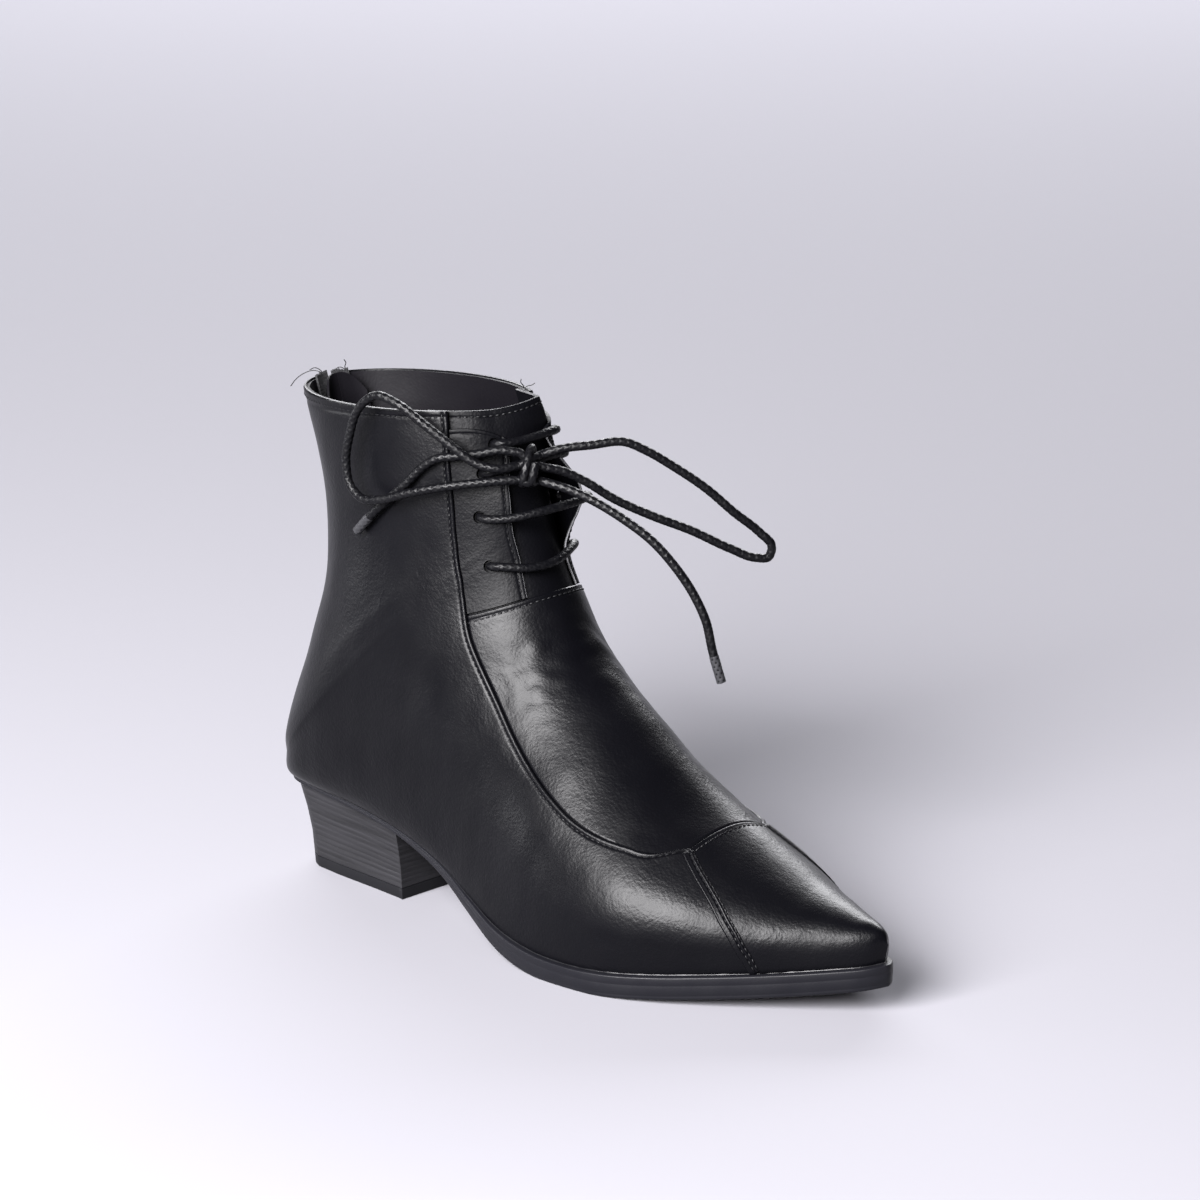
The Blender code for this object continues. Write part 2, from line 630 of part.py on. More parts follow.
def lace_hole_cutter(cutters):
    """One mesh of eight short pins, which punches the lace's holes through the facings."""
    form = bmesh.new()
    for station, share, _ in LACE_ROWS:
        for side in (-share, share):
            place = facing_point(station, side, -WALL / 2)
            turn = Vector(outward(station, side)).to_track_quat("Z", "Y").to_matrix().to_4x4()
            bmesh.ops.create_cone(form, cap_ends=True, segments=HOLE_SIDES, radius1=LACE_HOLE / 2,
                                  radius2=LACE_HOLE / 2, depth=HOLE_CUT,
                                  matrix=Matrix.Translation(place) @ turn)
    mesh = bpy.data.meshes.new("lace_hole_cutter")
    form.to_mesh(mesh)
    form.free()
    return add_tool("lace_hole_cutter", mesh, Matrix.Identity(4), cutters)


def make_tongue(material, collection):
    """The panel behind the facings, on the upper's own rows and columns."""
    stations, shares = master_grid()
    first = row_of(TONGUE_FOOT)
    _, _, step_at, middle = side_layout()
    reach = step_at + 3
    part = slice(middle - reach, middle + reach + 1)
    u = stations[first:, part]
    v = shares[first:, part]
    base = skin(u, v)
    normal = outward(u, v)
    mesh = shell("tongue", base - normal * (WALL + GAP), base - normal * (WALL + GAP + TONGUE_THICKNESS))
    return add_object("tongue", mesh, material, collection)


def feather_rows():
    return [row for row in ROWS if row <= FEATHER_END]


def make_insole(material, collection):
    """A board on the sole, just inside the wall's lower edge."""
    rows = np.array([row for row in feather_rows() if INSOLE_TOE <= row <= INSOLE_HEEL])
    outline = []
    for side in (-1, 1):
        edge = skin(rows, side * 1.0) - outward(rows, side * 1.0) * (WALL + GAP)
        edge[:, 1] -= side * GAP
        edge[:, 2] = sole_height(rows) + GAP
        outline.append(edge)
    bottom = np.concatenate([outline[0][::-1], outline[1]])
    top = bottom + np.array([0, 0, INSOLE_THICKNESS])
    return add_object("insole", ring_solid("insole", [top, bottom]), material, collection)


def sole_outline(rows):
    """Feather line pushed out by the ledge, heel to toe on the outer side and back again."""
    out = skin(rows, -1.0)
    inn = skin(rows, 1.0)
    ring = np.concatenate([out[::-1], inn])
    ring = np.delete(ring, len(rows), axis=0)
    station = np.concatenate([rows[::-1], rows[1:]])
    along = np.roll(ring, -1, axis=0) - np.roll(ring, 1, axis=0)
    side = np.stack([along[:, 1], -along[:, 0]], -1)
    side /= np.linalg.norm(side, axis=1, keepdims=True)
    return ring, station, side


def sole_ring(rows, inset, z):
    ring, station, side = sole_outline(rows)
    out = SOLE["ledge"](station) * LEDGE - inset
    ring = ring.copy()
    ring[:, :2] += side * out[:, None]
    ring[:, 2] = z(station)
    return ring


def sole_top(station):
    return sole_height(station) - GAP


def sole_under(station):
    return np.maximum(sole_top(station) - SOLE["edge"](station) * EDGE, 0)


def make_outsole(material, collection):
    rows = np.array(feather_rows())
    rings = [
        sole_ring(rows, SOLE_BEVEL, sole_top),
        sole_ring(rows, 0.0, lambda u: sole_top(u) - SOLE_BEVEL),
        sole_ring(rows, SOLE_DRAFT / 2, lambda u: sole_under(u) + SOLE_BEVEL),
        sole_ring(rows, SOLE_DRAFT, sole_under),
    ]
    return add_object("outsole", ring_solid("outsole", rings), material, collection)


def heel_outline(rise, height):
    """A heel ring at a height, or just under the sole where the height is none. rise is its share
    of the way up the draft and rake."""
    rows = np.array([BREAST] + [row for row in ROWS if BREAST < row <= FEATHER_END])
    out = skin(rows, -1.0)
    inn = skin(rows, 1.0)
    ring = np.concatenate([out, inn[-2::-1]])
    station = np.concatenate([rows, rows[-2::-1]])
    along = np.empty_like(ring)
    along[1:-1] = ring[2:] - ring[:-2]
    along[0] = ring[1] - ring[0]
    along[-1] = ring[-1] - ring[-2]
    side = np.stack([along[:, 1], -along[:, 0]], -1)
    side /= -np.linalg.norm(side, axis=1, keepdims=True)
    out_by = SOLE["ledge"](station) * LEDGE - HEEL_TUCK - SOLE_DRAFT
    ring[:, :2] += side * out_by[:, None]
    breast_x = skin(BREAST, -1.0)[0]
    back_x = ring[:, 0].min()
    back = np.clip((breast_x - ring[:, 0]) / (breast_x - back_x), 0, 1)
    narrow = HEEL_WAIST * (1 - back) + HEEL_DRAFT * (1 - rise)
    ring[:, 1] -= narrow * np.clip(ring[:, 1] / HEEL_ROUND, -1, 1)
    ring[:, 0] += HEEL_RAKE * (1 - rise) * back
    ring[0, 0] = breast_x
    ring[-1, 0] = breast_x
    ring[:, 2] = height if height is not None else sole_under(station) - GAP
    return ring[::-1]


def make_heel(material, lift_material, collection):
    foot = TOP_LIFT + GAP
    rings = []
    for share, rise in HEEL_LEVELS:
        ring = heel_outline(rise, None)
        ring[:, 2] = foot + (ring[:, 2] - foot) * share
        rings.append(ring)
    lowest = HEEL_LEVELS[-1][1]
    block = add_object("heel_block", ring_solid("heel_block", rings), material, collection)
    lift_rings = [heel_outline(lowest, TOP_LIFT), heel_outline(0.0, 0.0)]
    lift = add_object("top_lift", ring_solid("top_lift", lift_rings), lift_material, collection)
    return block, lift


def zip_shares(rows):
    """Columns of one side of the zip: tape's edge, slot, chain's foot and top, and mouth."""
    wide = np.array([side_shares(row)[-2:] for row in rows])
    chain = millimetres_round(rows, BACK_SHARE, ZIP_CHAIN / 2)
    run = millimetres_round(rows, BACK_SHARE, STEP_RUN)
    mouth = np.clip((rows - SLIDER_STATION) / (COLLAR - SLIDER_STATION), 0, 1) * ZIP_MOUTH / 2 + GAP / 2
    wide[:, 1] = np.minimum(wide[:, 1], 1 - chain - 2 * run)
    return np.stack([wide[:, 0], wide[:, 1], 1 - chain - run, 1 - chain,
                     1 - millimetres_round(rows, BACK_SHARE, mouth)], axis=1)


def both_sides(side):
    """Columns of one side and its mirror, across the back line."""
    return np.concatenate([side, -side[:, ::-1]], axis=1)


def make_zip_tape(material, collection):
    """The tape behind the slot with the chain raised in its middle, open above the slider."""
    rows = np.array([row for row in ROWS if row >= ZIP_FOOT])
    share = both_sides(zip_shares(rows))
    u = np.repeat(rows[:, None], share.shape[1], axis=1)
    base = skin(u, share)
    normal = outward(u, share)
    low = -(WALL + GAP + np.where(rows < ZIP_CLOSE, ZIP_FOOT_TUCK, 0))[:, None]
    raised = np.outer(rows > ZIP_CLOSE, (0, 0, 0, 1, 1, 1, 1, 0, 0, 0)) * ZIP_CHAIN_RISE
    outer = base + normal * (low + raised)[..., None]
    inner = base + normal * (low - ZIP_TAPE_THICKNESS)[..., None]
    keep = np.ones((len(rows) - 1, share.shape[1] - 1), bool)
    keep[rows[:-1] >= SLIDER_STATION, share.shape[1] // 2 - 1] = False
    return add_object("zip_tape", shell("zip_tape", outer, inner, keep), material, collection)


def make_zip_guard(material, collection):
    """The flap behind the tape, narrower at its top, just below the collar."""
    rows = np.array([row for row in ROWS if ZIP_CLOSE < row < COLLAR])
    side = zip_shares(rows)[:, (0, 1, 3)]
    taper = np.ones(len(rows))
    taper[-2:] = GUARD_TOP_TAPER
    share = both_sides(1 - (1 - side) * taper[:, None])
    u = np.repeat(rows[:, None], share.shape[1], axis=1)
    base = skin(u, share)
    normal = outward(u, share)
    depth = WALL + GAP + ZIP_TAPE_THICKNESS + GUARD_GAP
    mesh = shell("zip_guard", base - normal * depth, base - normal * (depth + GUARD_THICKNESS))
    return add_object("zip_guard", mesh, material, collection)


def zip_frame():
    """The slider's place: across, up the back line and outward as its axes."""
    place = skin(SLIDER_STATION, 1.0)
    out = outward(SLIDER_STATION, 1.0)
    out = Vector((out[0], 0, out[2])).normalized()
    up = Vector(skin(SLIDER_STATION + 0.1, 1.0) - skin(SLIDER_STATION - 0.1, 1.0))
    up = (up - out * up.dot(out)).normalized()
    across = up.cross(out)
    turn = Matrix((across, up, out)).transposed().to_4x4()
    return Matrix.Translation(place) @ turn


def prism(name, outline, thickness, upright=False):
    """A flat outline of the given thickness, in the plane of the zip or upright along it."""
    form = bmesh.new()
    half = thickness / 2
    place = (lambda a, b: (-half, a, b)) if upright else (lambda a, b: (a, b, -half))
    face = form.faces.new([form.verts.new(place(a, b)) for a, b in outline])
    lifted = bmesh.ops.extrude_face_region(form, geom=[face])["geom"]
    move = Vector((thickness, 0, 0)) if upright else Vector((0, 0, thickness))
    bmesh.ops.translate(form, verts=[v for v in lifted if isinstance(v, bmesh.types.BMVert)], vec=move)
    bmesh.ops.recalc_face_normals(form, faces=form.faces[:])
    mesh = bpy.data.meshes.new(name)
    form.to_mesh(mesh)
    form.free()
    return mesh


def add_tool(name, mesh, matrix, cutters):
    """A hidden helper that a Boolean modifier reads."""
    item = bpy.data.objects.new(name, mesh)
    item.matrix_world = matrix
    item.hide_render = True
    item.display_type = "WIRE"
    cutters.objects.link(item)
    return item


def boolean(item, operation, tool):
    modifier = item.modifiers.new(tool.name, "BOOLEAN")
    modifier.operation = operation
    modifier.solver = "EXACT"
    modifier.object = tool


def make_slider(material, collection, cutters):
    """The slider on the chain, with the bridge that holds the pull."""
    half_width = SLIDER_WIDTH / 2
    half_length = SLIDER_LENGTH / 2
    narrow = half_width - SLIDER_NOSE
    outline = ((-half_width, half_length), (-narrow, -half_length), (narrow, -half_length),
               (half_width, half_length))
    low = -(WALL + GAP) + ZIP_CHAIN_RISE + GAP
    frame = zip_frame()
    slider = add_object("zip_slider", prism("zip_slider", outline, SLIDER_THICKNESS), material, collection)
    slider.matrix_world = frame @ Matrix.Translation((0, 0, low + SLIDER_THICKNESS / 2))
    bevel = slider.modifiers.new("rounded", "BEVEL")
    bevel.width = SLIDER_BEVEL
    bevel.segments = 2
    reach = BRIDGE_LENGTH / 2
    window = reach - BRIDGE_WIRE
    foot = -BRIDGE_WIRE / 2
    arch = ((-reach, foot), (-reach, BRIDGE_HEIGHT), (reach, BRIDGE_HEIGHT), (reach, foot), (window, foot),
            (window, BRIDGE_HEIGHT - BRIDGE_WIRE), (-window, BRIDGE_HEIGHT - BRIDGE_WIRE), (-window, foot))
    top = frame @ Matrix.Translation((0, 0, low + SLIDER_THICKNESS))
    bridge = add_tool("zip_bridge", prism("zip_bridge", arch, BRIDGE_WIRE, upright=True), top, cutters)
    boolean(slider, "UNION", bridge)
    return top


def make_pull(material, collection, cutters, top):
    """The pull tab, its origin on the hinge line under the bridge, hanging plumb from it."""
    half_bar = PULL_THICKNESS / 2
    axis_height = (BRIDGE_HEIGHT - BRIDGE_WIRE) / 2
    half_width = PULL_WIDTH / 2
    neck = PULL_NECK / 2
    corner = PULL_CORNER
    eye_end = -half_bar - PULL_EYE_LENGTH
    shoulder = eye_end - corner
    outline = ((-neck, half_bar), (neck, half_bar), (neck, eye_end), (half_width, shoulder),
               (half_width, corner - PULL_LENGTH), (half_width - corner, -PULL_LENGTH),
               (corner - half_width, -PULL_LENGTH), (-half_width, corner - PULL_LENGTH),
               (-half_width, shoulder), (-neck, eye_end))
    pull = add_object("zip_pull", prism("zip_pull", outline[::-1], PULL_THICKNESS), material, collection)
    hang = Matrix.Rotation(-PULL_HANG, 4, "X")
    pull.matrix_world = top @ Matrix.Translation((0, 0, axis_height)) @ hang
    half_eye = PULL_EYE_WIDTH / 2
    window = ((-half_eye, -half_bar), (half_eye, -half_bar), (half_eye, eye_end), (-half_eye, eye_end))
    eye = add_tool("zip_eye", prism("zip_eye", window, PULL_EYE_CUT), pull.matrix_world, cutters)
    boolean(pull, "DIFFERENCE", eye)


def crossing(station, share, sag):
    """A lace's way from one facing's hole to the other's, resting on both."""
    around = np.linspace(-share, share, CROSSING_POINTS)
    at = station - sag * (1 - (around / share) ** 2)
    slit = slit_share(at)
    low = flare(at, -slit)
    high = flare(at, slit)
    over_slit = low + (high - low) * (around + slit) / (2 * slit)
    over = np.where(np.abs(around) < slit, over_slit, flare(at, around))
    height = over - FACING_STEP + LACE / 2 + LACE_REST
    return skin(at, around) + outward(at, around) * height[..., None]


def make_crossings(material, collection):
    for number, (station, share, sag) in enumerate(LACE_ROWS, start=1):
        tube(f"lace_bar_{number}", crossing(station, share, sag), LACE, material, collection)


def make_cords(material, collection):
    """The knot, the two loops of the bow and the two free ends."""
    for name, route in CORD_ROUTES.items():
        diameter = KNOT if name == "lace_knot" else LACE
        points = smooth_route(np.array(route) * MM, CORD_STEP)
        tube(name, points, diameter, material, collection)


def stand_at_origin(collection, cutters):
    """Parent every piece to an empty that puts the middle of the footprint on the origin."""
    bpy.context.view_layer.update()
    corners = []
    for item in collection.objects:
        if item.name not in CORD_ROUTES:
            corners += [item.matrix_world @ Vector(corner) for corner in item.bound_box]
    corners = np.array(corners)
    low = corners.min(axis=0)
    high = corners.max(axis=0)
    stand = bpy.data.objects.new("boot_stand", None)
    stand.location = (-(low[0] + high[0]) / 2, -(low[1] + high[1]) / 2, 0)
    for item in [*collection.objects, *cutters.objects]:
        item.parent = stand
    collection.objects.link(stand)


def main():
    for item in list(bpy.data.objects):
        bpy.data.objects.remove(item, do_unlink=True)
    parts = bpy.data.collections.new("lace_up_ankle_boot")
    cutters = bpy.data.collections.new("cutters")
    bpy.context.scene.collection.children.link(parts)
    bpy.context.scene.collection.children.link(cutters)
    finish = {name: new_material(name, *look) for name, look in FINISHES.items()}
    make_upper(finish["black_leather"], parts, cutters)
    make_tongue(finish["tongue_leather"], parts)
    make_insole(finish["insole_board"], parts)
    make_outsole(finish["sole_rubber"], parts)
    make_heel(finish["heel_stack"], finish["lift_rubber"], parts)
    make_zip_tape(finish["zip_cloth"], parts)
    make_zip_guard(finish["guard_leather"], parts)
    top = make_slider(finish["zip_metal"], parts, cutters)
    make_pull(finish["pull_metal"], parts, cutters, top)
    make_crossings(finish["lace_cord"], parts)
    make_cords(finish["lace_cord"], parts)
    stand_at_origin(parts, cutters)


main()
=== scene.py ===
"""Lace up ankle boot for the right foot: its leather, stitching, lace, zip and sole."""
import math

import bmesh
import bpy
import numpy as np
from mathutils import Matrix, Vector


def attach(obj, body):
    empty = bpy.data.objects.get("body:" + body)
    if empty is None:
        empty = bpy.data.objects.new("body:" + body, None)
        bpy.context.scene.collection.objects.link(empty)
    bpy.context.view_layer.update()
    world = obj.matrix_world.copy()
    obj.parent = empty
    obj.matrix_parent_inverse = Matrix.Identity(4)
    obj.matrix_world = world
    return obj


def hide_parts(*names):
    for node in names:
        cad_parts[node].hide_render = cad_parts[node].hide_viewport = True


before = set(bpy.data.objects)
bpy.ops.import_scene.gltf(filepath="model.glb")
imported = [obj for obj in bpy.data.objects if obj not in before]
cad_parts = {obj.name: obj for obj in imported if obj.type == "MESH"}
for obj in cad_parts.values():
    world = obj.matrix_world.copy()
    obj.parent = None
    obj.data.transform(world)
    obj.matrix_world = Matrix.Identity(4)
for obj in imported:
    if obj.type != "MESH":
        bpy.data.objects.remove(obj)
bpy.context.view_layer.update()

MM = 0.001
STAND = np.array((-0.128851, 0.003450, 0.0))

# Camera, as the photograph was taken
CAMERA_AZIMUTH = 44.58
CAMERA_ELEVATION = 16.17
CAMERA_ROLL = -0.34
CAMERA_DISTANCE = 1.7307
CAMERA_TARGET = (0.14016, 0.0, 0.12301)
CAMERA_LENS = 149.71

# The last and the upper, as the frame has them
LENGTH = 264.0 * MM
BALL_WIDTH = 84.0 * MM
TOE_SPRING = 10.3 * MM
HEEL_LIFT = 27.6 * MM
SHAFT_RISE = 150.9 * MM
WALL = 2.4 * MM
APRON_STEP = 0.6 * MM
FACING_STEP = 1.0 * MM
TOE_RIB_WIDTH = 3.4 * MM
FACING_FLARE_OUT = 2.5 * MM
FACING_FLARE_IN = 11.0 * MM
FOLD_OUT = 6.2 * MM
LACE_HOLE = 4.4 * MM
GAP = 0.3 * MM
TONGUE_THICKNESS = 1.6 * MM
EDGE = 7.7 * MM
LEDGE = 2.4 * MM
SOLE_DRAFT = 0.9 * MM
TOP_LIFT = 4.2 * MM
HEEL_TUCK = 0.5 * MM
HEEL_WAIST = 2.0 * MM
HEEL_RAKE = 5.5 * MM
HEEL_DRAFT = 3.2 * MM
HEEL_ROUND = 12.8 * MM
HEEL_LAYERS = 13
ZIP_SLOT = 9.0 * MM
LACE = 3.0 * MM
LACE_REST = 0.6 * MM

TOE_SEAM_FOOT = 3.95
APRON_FRONT = 6.66
THROAT = 14.7
THROAT_BEND = 1.4
FACING_TOP = 27.7
FACING_TOP_BEND = 1.5
BEND_REACH = 3.0
CORNER_POWER = 2.5
FLARE_FROM = 16.0
FLARE_TO = 26.5
FOLD_FROM = 22.5
FOLD_GROWS_OVER = 5.0
FOLD_SHARE = 0.12
FOLD_HALF = 0.25
TONGUE_FOOT = 13.2
FEATHER_END = 19.0
ZIP_FOOT = 21.2
ZIP_CLOSE = 21.5
SLIDER_STATION = 27.3
COLLAR = 29.0
BREAST = 13.6
WIDEST = 0.62

LAST_COLUMNS = ("station", "foot_x", "foot_out", "foot_in", "spring", "lift", "climb",
                "ridge_x", "ridge_y", "ridge_rise", "wide_out", "wide_in", "wide_at", "top_round")
LAST_ROWS = (
    (0.0, 1.000, 0.119, 0.119, 1.00, 0.000, 0.000, 1.006, 0.119, 0.046, 0.119, 0.119, 0.40, 2.00),
    (0.6, 0.992, 0.071, 0.157, 0.96, 0.000, 0.000, 0.997, 0.117, 0.075, 0.063, 0.165, 0.40, 2.00),
    (1.2, 0.980, 0.029, 0.188, 0.90, 0.000, 0.000, 0.982, 0.111, 0.093, 0.019, 0.198, 0.38, 2.00),
    (2.0, 0.956, -0.031, 0.229, 0.81, 0.000, 0.000, 0.958, 0.098, 0.109, -0.043, 0.241, 0.36, 2.00),
    (3.0, 0.920, -0.110, 0.281, 0.67, 0.000, 0.000, 0.923, 0.086, 0.135, -0.126, 0.296, 0.34, 2.00),
    (4.0, 0.872, -0.212, 0.338, 0.51, 0.000, 0.000, 0.881, 0.074, 0.168, -0.230, 0.357, 0.33, 1.95),
    (5.0, 0.818, -0.324, 0.390, 0.36, 0.000, 0.000, 0.837, 0.060, 0.211, -0.338, 0.422, 0.32, 1.90),
    (6.0, 0.759, -0.431, 0.426, 0.20, 0.000, 0.000, 0.790, 0.045, 0.264, -0.441, 0.472, 0.31, 1.85),
    (7.0, 0.697, -0.512, 0.438, 0.07, 0.000, 0.000, 0.741, 0.032, 0.320, -0.519, 0.490, 0.30, 1.85),
    (8.0, 0.633, -0.541, 0.418, 0.00, 0.000, 0.000, 0.692, 0.022, 0.377, -0.549, 0.484, 0.30, 1.85),
    (9.0, 0.566, -0.542, 0.371, 0.00, 0.026, 0.000, 0.646, 0.018, 0.432, -0.546, 0.462, 0.31, 1.85),
    (10.0, 0.497, -0.514, 0.326, 0.00, 0.134, 0.000, 0.601, 0.015, 0.478, -0.519, 0.445, 0.33, 1.90),
    (11.0, 0.428, -0.464, 0.298, 0.00, 0.351, 0.000, 0.558, 0.010, 0.497, -0.481, 0.429, 0.36, 1.90),
    (12.0, 0.357, -0.410, 0.293, 0.00, 0.594, 0.000, 0.520, 0.005, 0.510, -0.456, 0.418, 0.38, 1.95),
    (13.0, 0.283, -0.374, 0.305, 0.00, 0.768, 0.000, 0.492, 0.004, 0.537, -0.443, 0.417, 0.41, 1.95),
    (14.5, 0.171, -0.335, 0.321, 0.00, 0.905, 0.000, 0.465, 0.002, 0.595, -0.436, 0.419, 0.45, 2.00),
    (16.0, 0.069, -0.305, 0.308, 0.00, 0.964, 0.000, 0.448, 0.000, 0.649, -0.433, 0.423, 0.48, 2.00),
    (17.0, 0.020, -0.273, 0.278, 0.00, 0.990, 0.000, 0.439, 0.000, 0.682, -0.435, 0.426, 0.49, 2.00),
    (18.0, -0.008, -0.163, 0.168, 0.00, 1.000, 0.000, 0.433, 0.000, 0.707, -0.438, 0.429, 0.50, 2.00),
    (18.5, -0.016, -0.075, 0.078, 0.00, 1.000, 0.001, 0.430, 0.000, 0.720, -0.439, 0.429, 0.50, 2.00),
    (19.0, -0.020, 0.000, 0.000, 0.00, 1.000, 0.004, 0.427, 0.000, 0.734, -0.440, 0.429, 0.50, 2.00),
    (19.5, -0.029, 0.000, 0.000, 0.00, 1.000, 0.030, 0.425, 0.000, 0.747, -0.437, 0.427, 0.50, 2.00),
    (20.0, -0.033, 0.000, 0.000, 0.00, 1.000, 0.076, 0.423, 0.000, 0.760, -0.433, 0.424, 0.50, 2.00),
    (21.0, -0.025, 0.000, 0.000, 0.00, 1.000, 0.149, 0.420, 0.000, 0.789, -0.421, 0.415, 0.50, 2.00),
    (22.5, 0.008, 0.000, 0.000, 0.00, 1.000, 0.295, 0.414, 0.000, 0.832, -0.403, 0.400, 0.50, 2.00),
    (24.0, 0.039, 0.000, 0.000, 0.00, 1.000, 0.453, 0.406, 0.000, 0.874, -0.390, 0.390, 0.50, 2.00),
    (26.0, 0.047, 0.000, 0.000, 0.00, 1.000, 0.662, 0.395, 0.000, 0.930, -0.382, 0.379, 0.50, 2.00),
    (27.5, 0.028, 0.000, 0.000, 0.00, 1.000, 0.819, 0.387, 0.000, 0.967, -0.381, 0.371, 0.50, 2.00),
    (29.0, 0.001, 0.000, 0.000, 0.00, 1.000, 0.962, 0.378, 0.000, 1.000, -0.381, 0.364, 0.50, 2.00),
)
HEEL_COLUMNS = ("station", "round")
HEEL_ROWS = ((13.0, 2.00), (14.5, 2.00), (16.0, 2.38), (17.0, 2.20), (18.0, 2.37), (18.5, 2.58),
             (19.0, 2.75), (19.5, 2.54), (20.0, 2.20), (21.0, 2.00), (22.5, 2.00))
SEAM_ROWS = (
    (0.0, 0.930, 0.13),
    (3.95, 0.930, 0.13),
    (4.2, 0.650, 0.13),
    (4.7, 0.455, 0.13),
    (5.6, 0.305, 0.13),
    (6.66, 0.205, 0.10),
    (7.1, 0.285, 0.13),
    (7.75, 0.325, 0.13),
    (9.0, 0.375, 0.14),
    (10.65, 0.400, 0.15),
    (13.0, 0.375, 0.15),
    (14.85, 0.362, 0.15),
    (17.0, 0.325, 0.13),
    (20.0, 0.310, 0.13),
    (22.5, 0.328, 0.13),
    (25.2, 0.340, 0.095),
    (29.0, 0.305, 0.090),
)
SOLE_COLUMNS = ("station", "ledge", "edge")
SOLE_ROWS = (
    (0.0, 1.00, 1.00),
    (8.0, 1.00, 1.00),
    (9.5, 0.85, 0.95),
    (10.5, 0.60, 0.78),
    (11.5, 0.40, 0.58),
    (12.5, 0.28, 0.42),
    (13.6, 0.22, 0.31),
    (15.0, 0.20, 0.28),
    (19.0, 0.20, 0.28),
)
LACE_ROWS = (
    (17.7, 0.225, 1.6),
    (21.6, 0.235, 1.4),
    (24.3, 0.215, 0.3),
    (26.0, 0.150, 0.3),
)

# The free lace's routes in millimetres, along the last from its heel point, out and up
CORD_ROUTES = {
    "lace_knot": ((113.0, -6.5, 172.5), (114.0, -7.8, 169.5), (115.0, -8.8, 166.5), (115.5, -9.2, 163.5)),
    "lace_loop_outer": (
        (113.0, -12.2, 168.5), (109.5, -18.5, 168.0), (103.5, -23.0, 169.5), (97.0, -27.0, 174.5),
        (86.5, -31.5, 182.0), (76.5, -35.0, 188.5), (68.0, -37.0, 190.5), (61.0, -38.5, 185.5),
        (56.5, -39.5, 174.5), (54.5, -39.5, 164.5), (56.5, -39.5, 156.5), (62.0, -39.5, 153.0),
        (71.5, -38.5, 154.0), (81.5, -36.0, 157.5), (94.0, -30.5, 161.0), (104.5, -23.5, 163.0),
        (111.0, -17.5, 163.8), (114.5, -13.4, 164.0)),
    "lace_end_outer": (
        (111.5, -10.8, 172.8), (107.0, -15.0, 173.5), (100.5, -20.0, 172.0), (95.0, -24.0, 171.0),
        (88.0, -28.0, 169.5), (82.5, -30.0, 165.5), (77.5, -32.0, 160.0), (70.0, -34.0, 153.0),
        (61.0, -35.0, 145.0), (54.0, -34.5, 138.5)),
    "lace_loop_inner": (
        (116.0, -3.6, 171.6), (120.5, 0.5, 173.5), (128.0, 8.0, 174.8), (136.0, 17.5, 175.5),
        (140.5, 22.5, 172.5), (147.0, 30.5, 166.0), (154.0, 39.0, 158.0), (160.5, 46.5, 149.0),
        (166.0, 53.5, 141.5), (169.0, 56.5, 136.5), (168.0, 56.0, 132.5), (165.0, 52.0, 132.5),
        (159.5, 45.5, 136.0), (150.5, 35.0, 143.0), (141.5, 24.0, 149.0), (133.0, 14.0, 155.5),
        (126.5, 6.5, 162.0), (121.5, 0.0, 166.0), (118.0, -4.6, 167.4)),
    "lace_end_inner": (
        (118.3, -6.8, 163.1), (126.0, -3.5, 161.5), (133.5, 0.5, 158.5), (145.0, 7.0, 151.5),
        (153.5, 12.0, 144.5), (160.5, 16.0, 136.0), (166.5, 19.5, 126.0), (170.5, 21.5, 116.5),
        (172.5, 22.5, 106.5), (175.5, 24.0, 95.0)),
}


# Lines of points
def unit(vectors):
    return vectors / np.linalg.norm(vectors, axis=-1, keepdims=True)


def run_along(points):
    """Each point's distance along a line of points, from its first."""
    return np.concatenate([[0], np.cumsum(np.linalg.norm(np.diff(points, axis=0), axis=1))])


# The outer form, by station along it and share round it
def curve_through(stations, values):
    """A smooth curve through values at stations, as a function of the station."""
    xs = np.asarray(stations, float)
    ys = np.asarray(values, float)
    step = np.diff(xs)
    rise = np.diff(ys) / step
    slope = np.empty_like(ys)
    slope[0] = rise[0]
    slope[-1] = rise[-1]
    slope[1:-1] = (rise[:-1] * step[1:] + rise[1:] * step[:-1]) / (step[:-1] + step[1:])

    def value(x):
        x = np.clip(np.asarray(x, float), xs[0], xs[-1])
        i = np.clip(np.searchsorted(xs, x, side="right") - 1, 0, len(xs) - 2)
        t = (x - xs[i]) / step[i]
        ahead = t * t * (3 - 2 * t)
        return (ys[i] * (1 - ahead) + ys[i + 1] * ahead
                + t * (1 - t) * (1 - t) * step[i] * slope[i] - t * t * (1 - t) * step[i] * slope[i + 1])

    return value


def columns(names, rows):
    table = np.array(rows)
    return {name: curve_through(table[:, 0], table[:, k]) for k, name in enumerate(names) if k}


LAST = columns(LAST_COLUMNS, LAST_ROWS)
HEEL = columns(HEEL_COLUMNS, HEEL_ROWS)
SOLE = columns(SOLE_COLUMNS, SOLE_ROWS)
SEAM = np.array(SEAM_ROWS)


SIDE_SEAM = curve_through(SEAM[5:, 0], SEAM[5:, 1])
TOE_SEAM_SHARES = (0.205, 0.305, 0.455, 0.65, 0.82, 0.985)
TOE_SEAM_STATIONS = (6.66, 5.6, 4.72, 4.2, 4.02, 3.93)
TOE_SHARES = np.linspace(TOE_SEAM_SHARES[0], TOE_SEAM_SHARES[-1], 200)
TOE_STATIONS = curve_through(TOE_SEAM_SHARES, TOE_SEAM_STATIONS)(TOE_SHARES)


def seam_share(station):
    toe = np.interp(station, TOE_STATIONS[::-1], TOE_SHARES[::-1])
    return np.where(np.asarray(station) < APRON_FRONT, toe, SIDE_SEAM(station))


def slit_share(station):
    return np.interp(station, SEAM[:, 0], SEAM[:, 2])


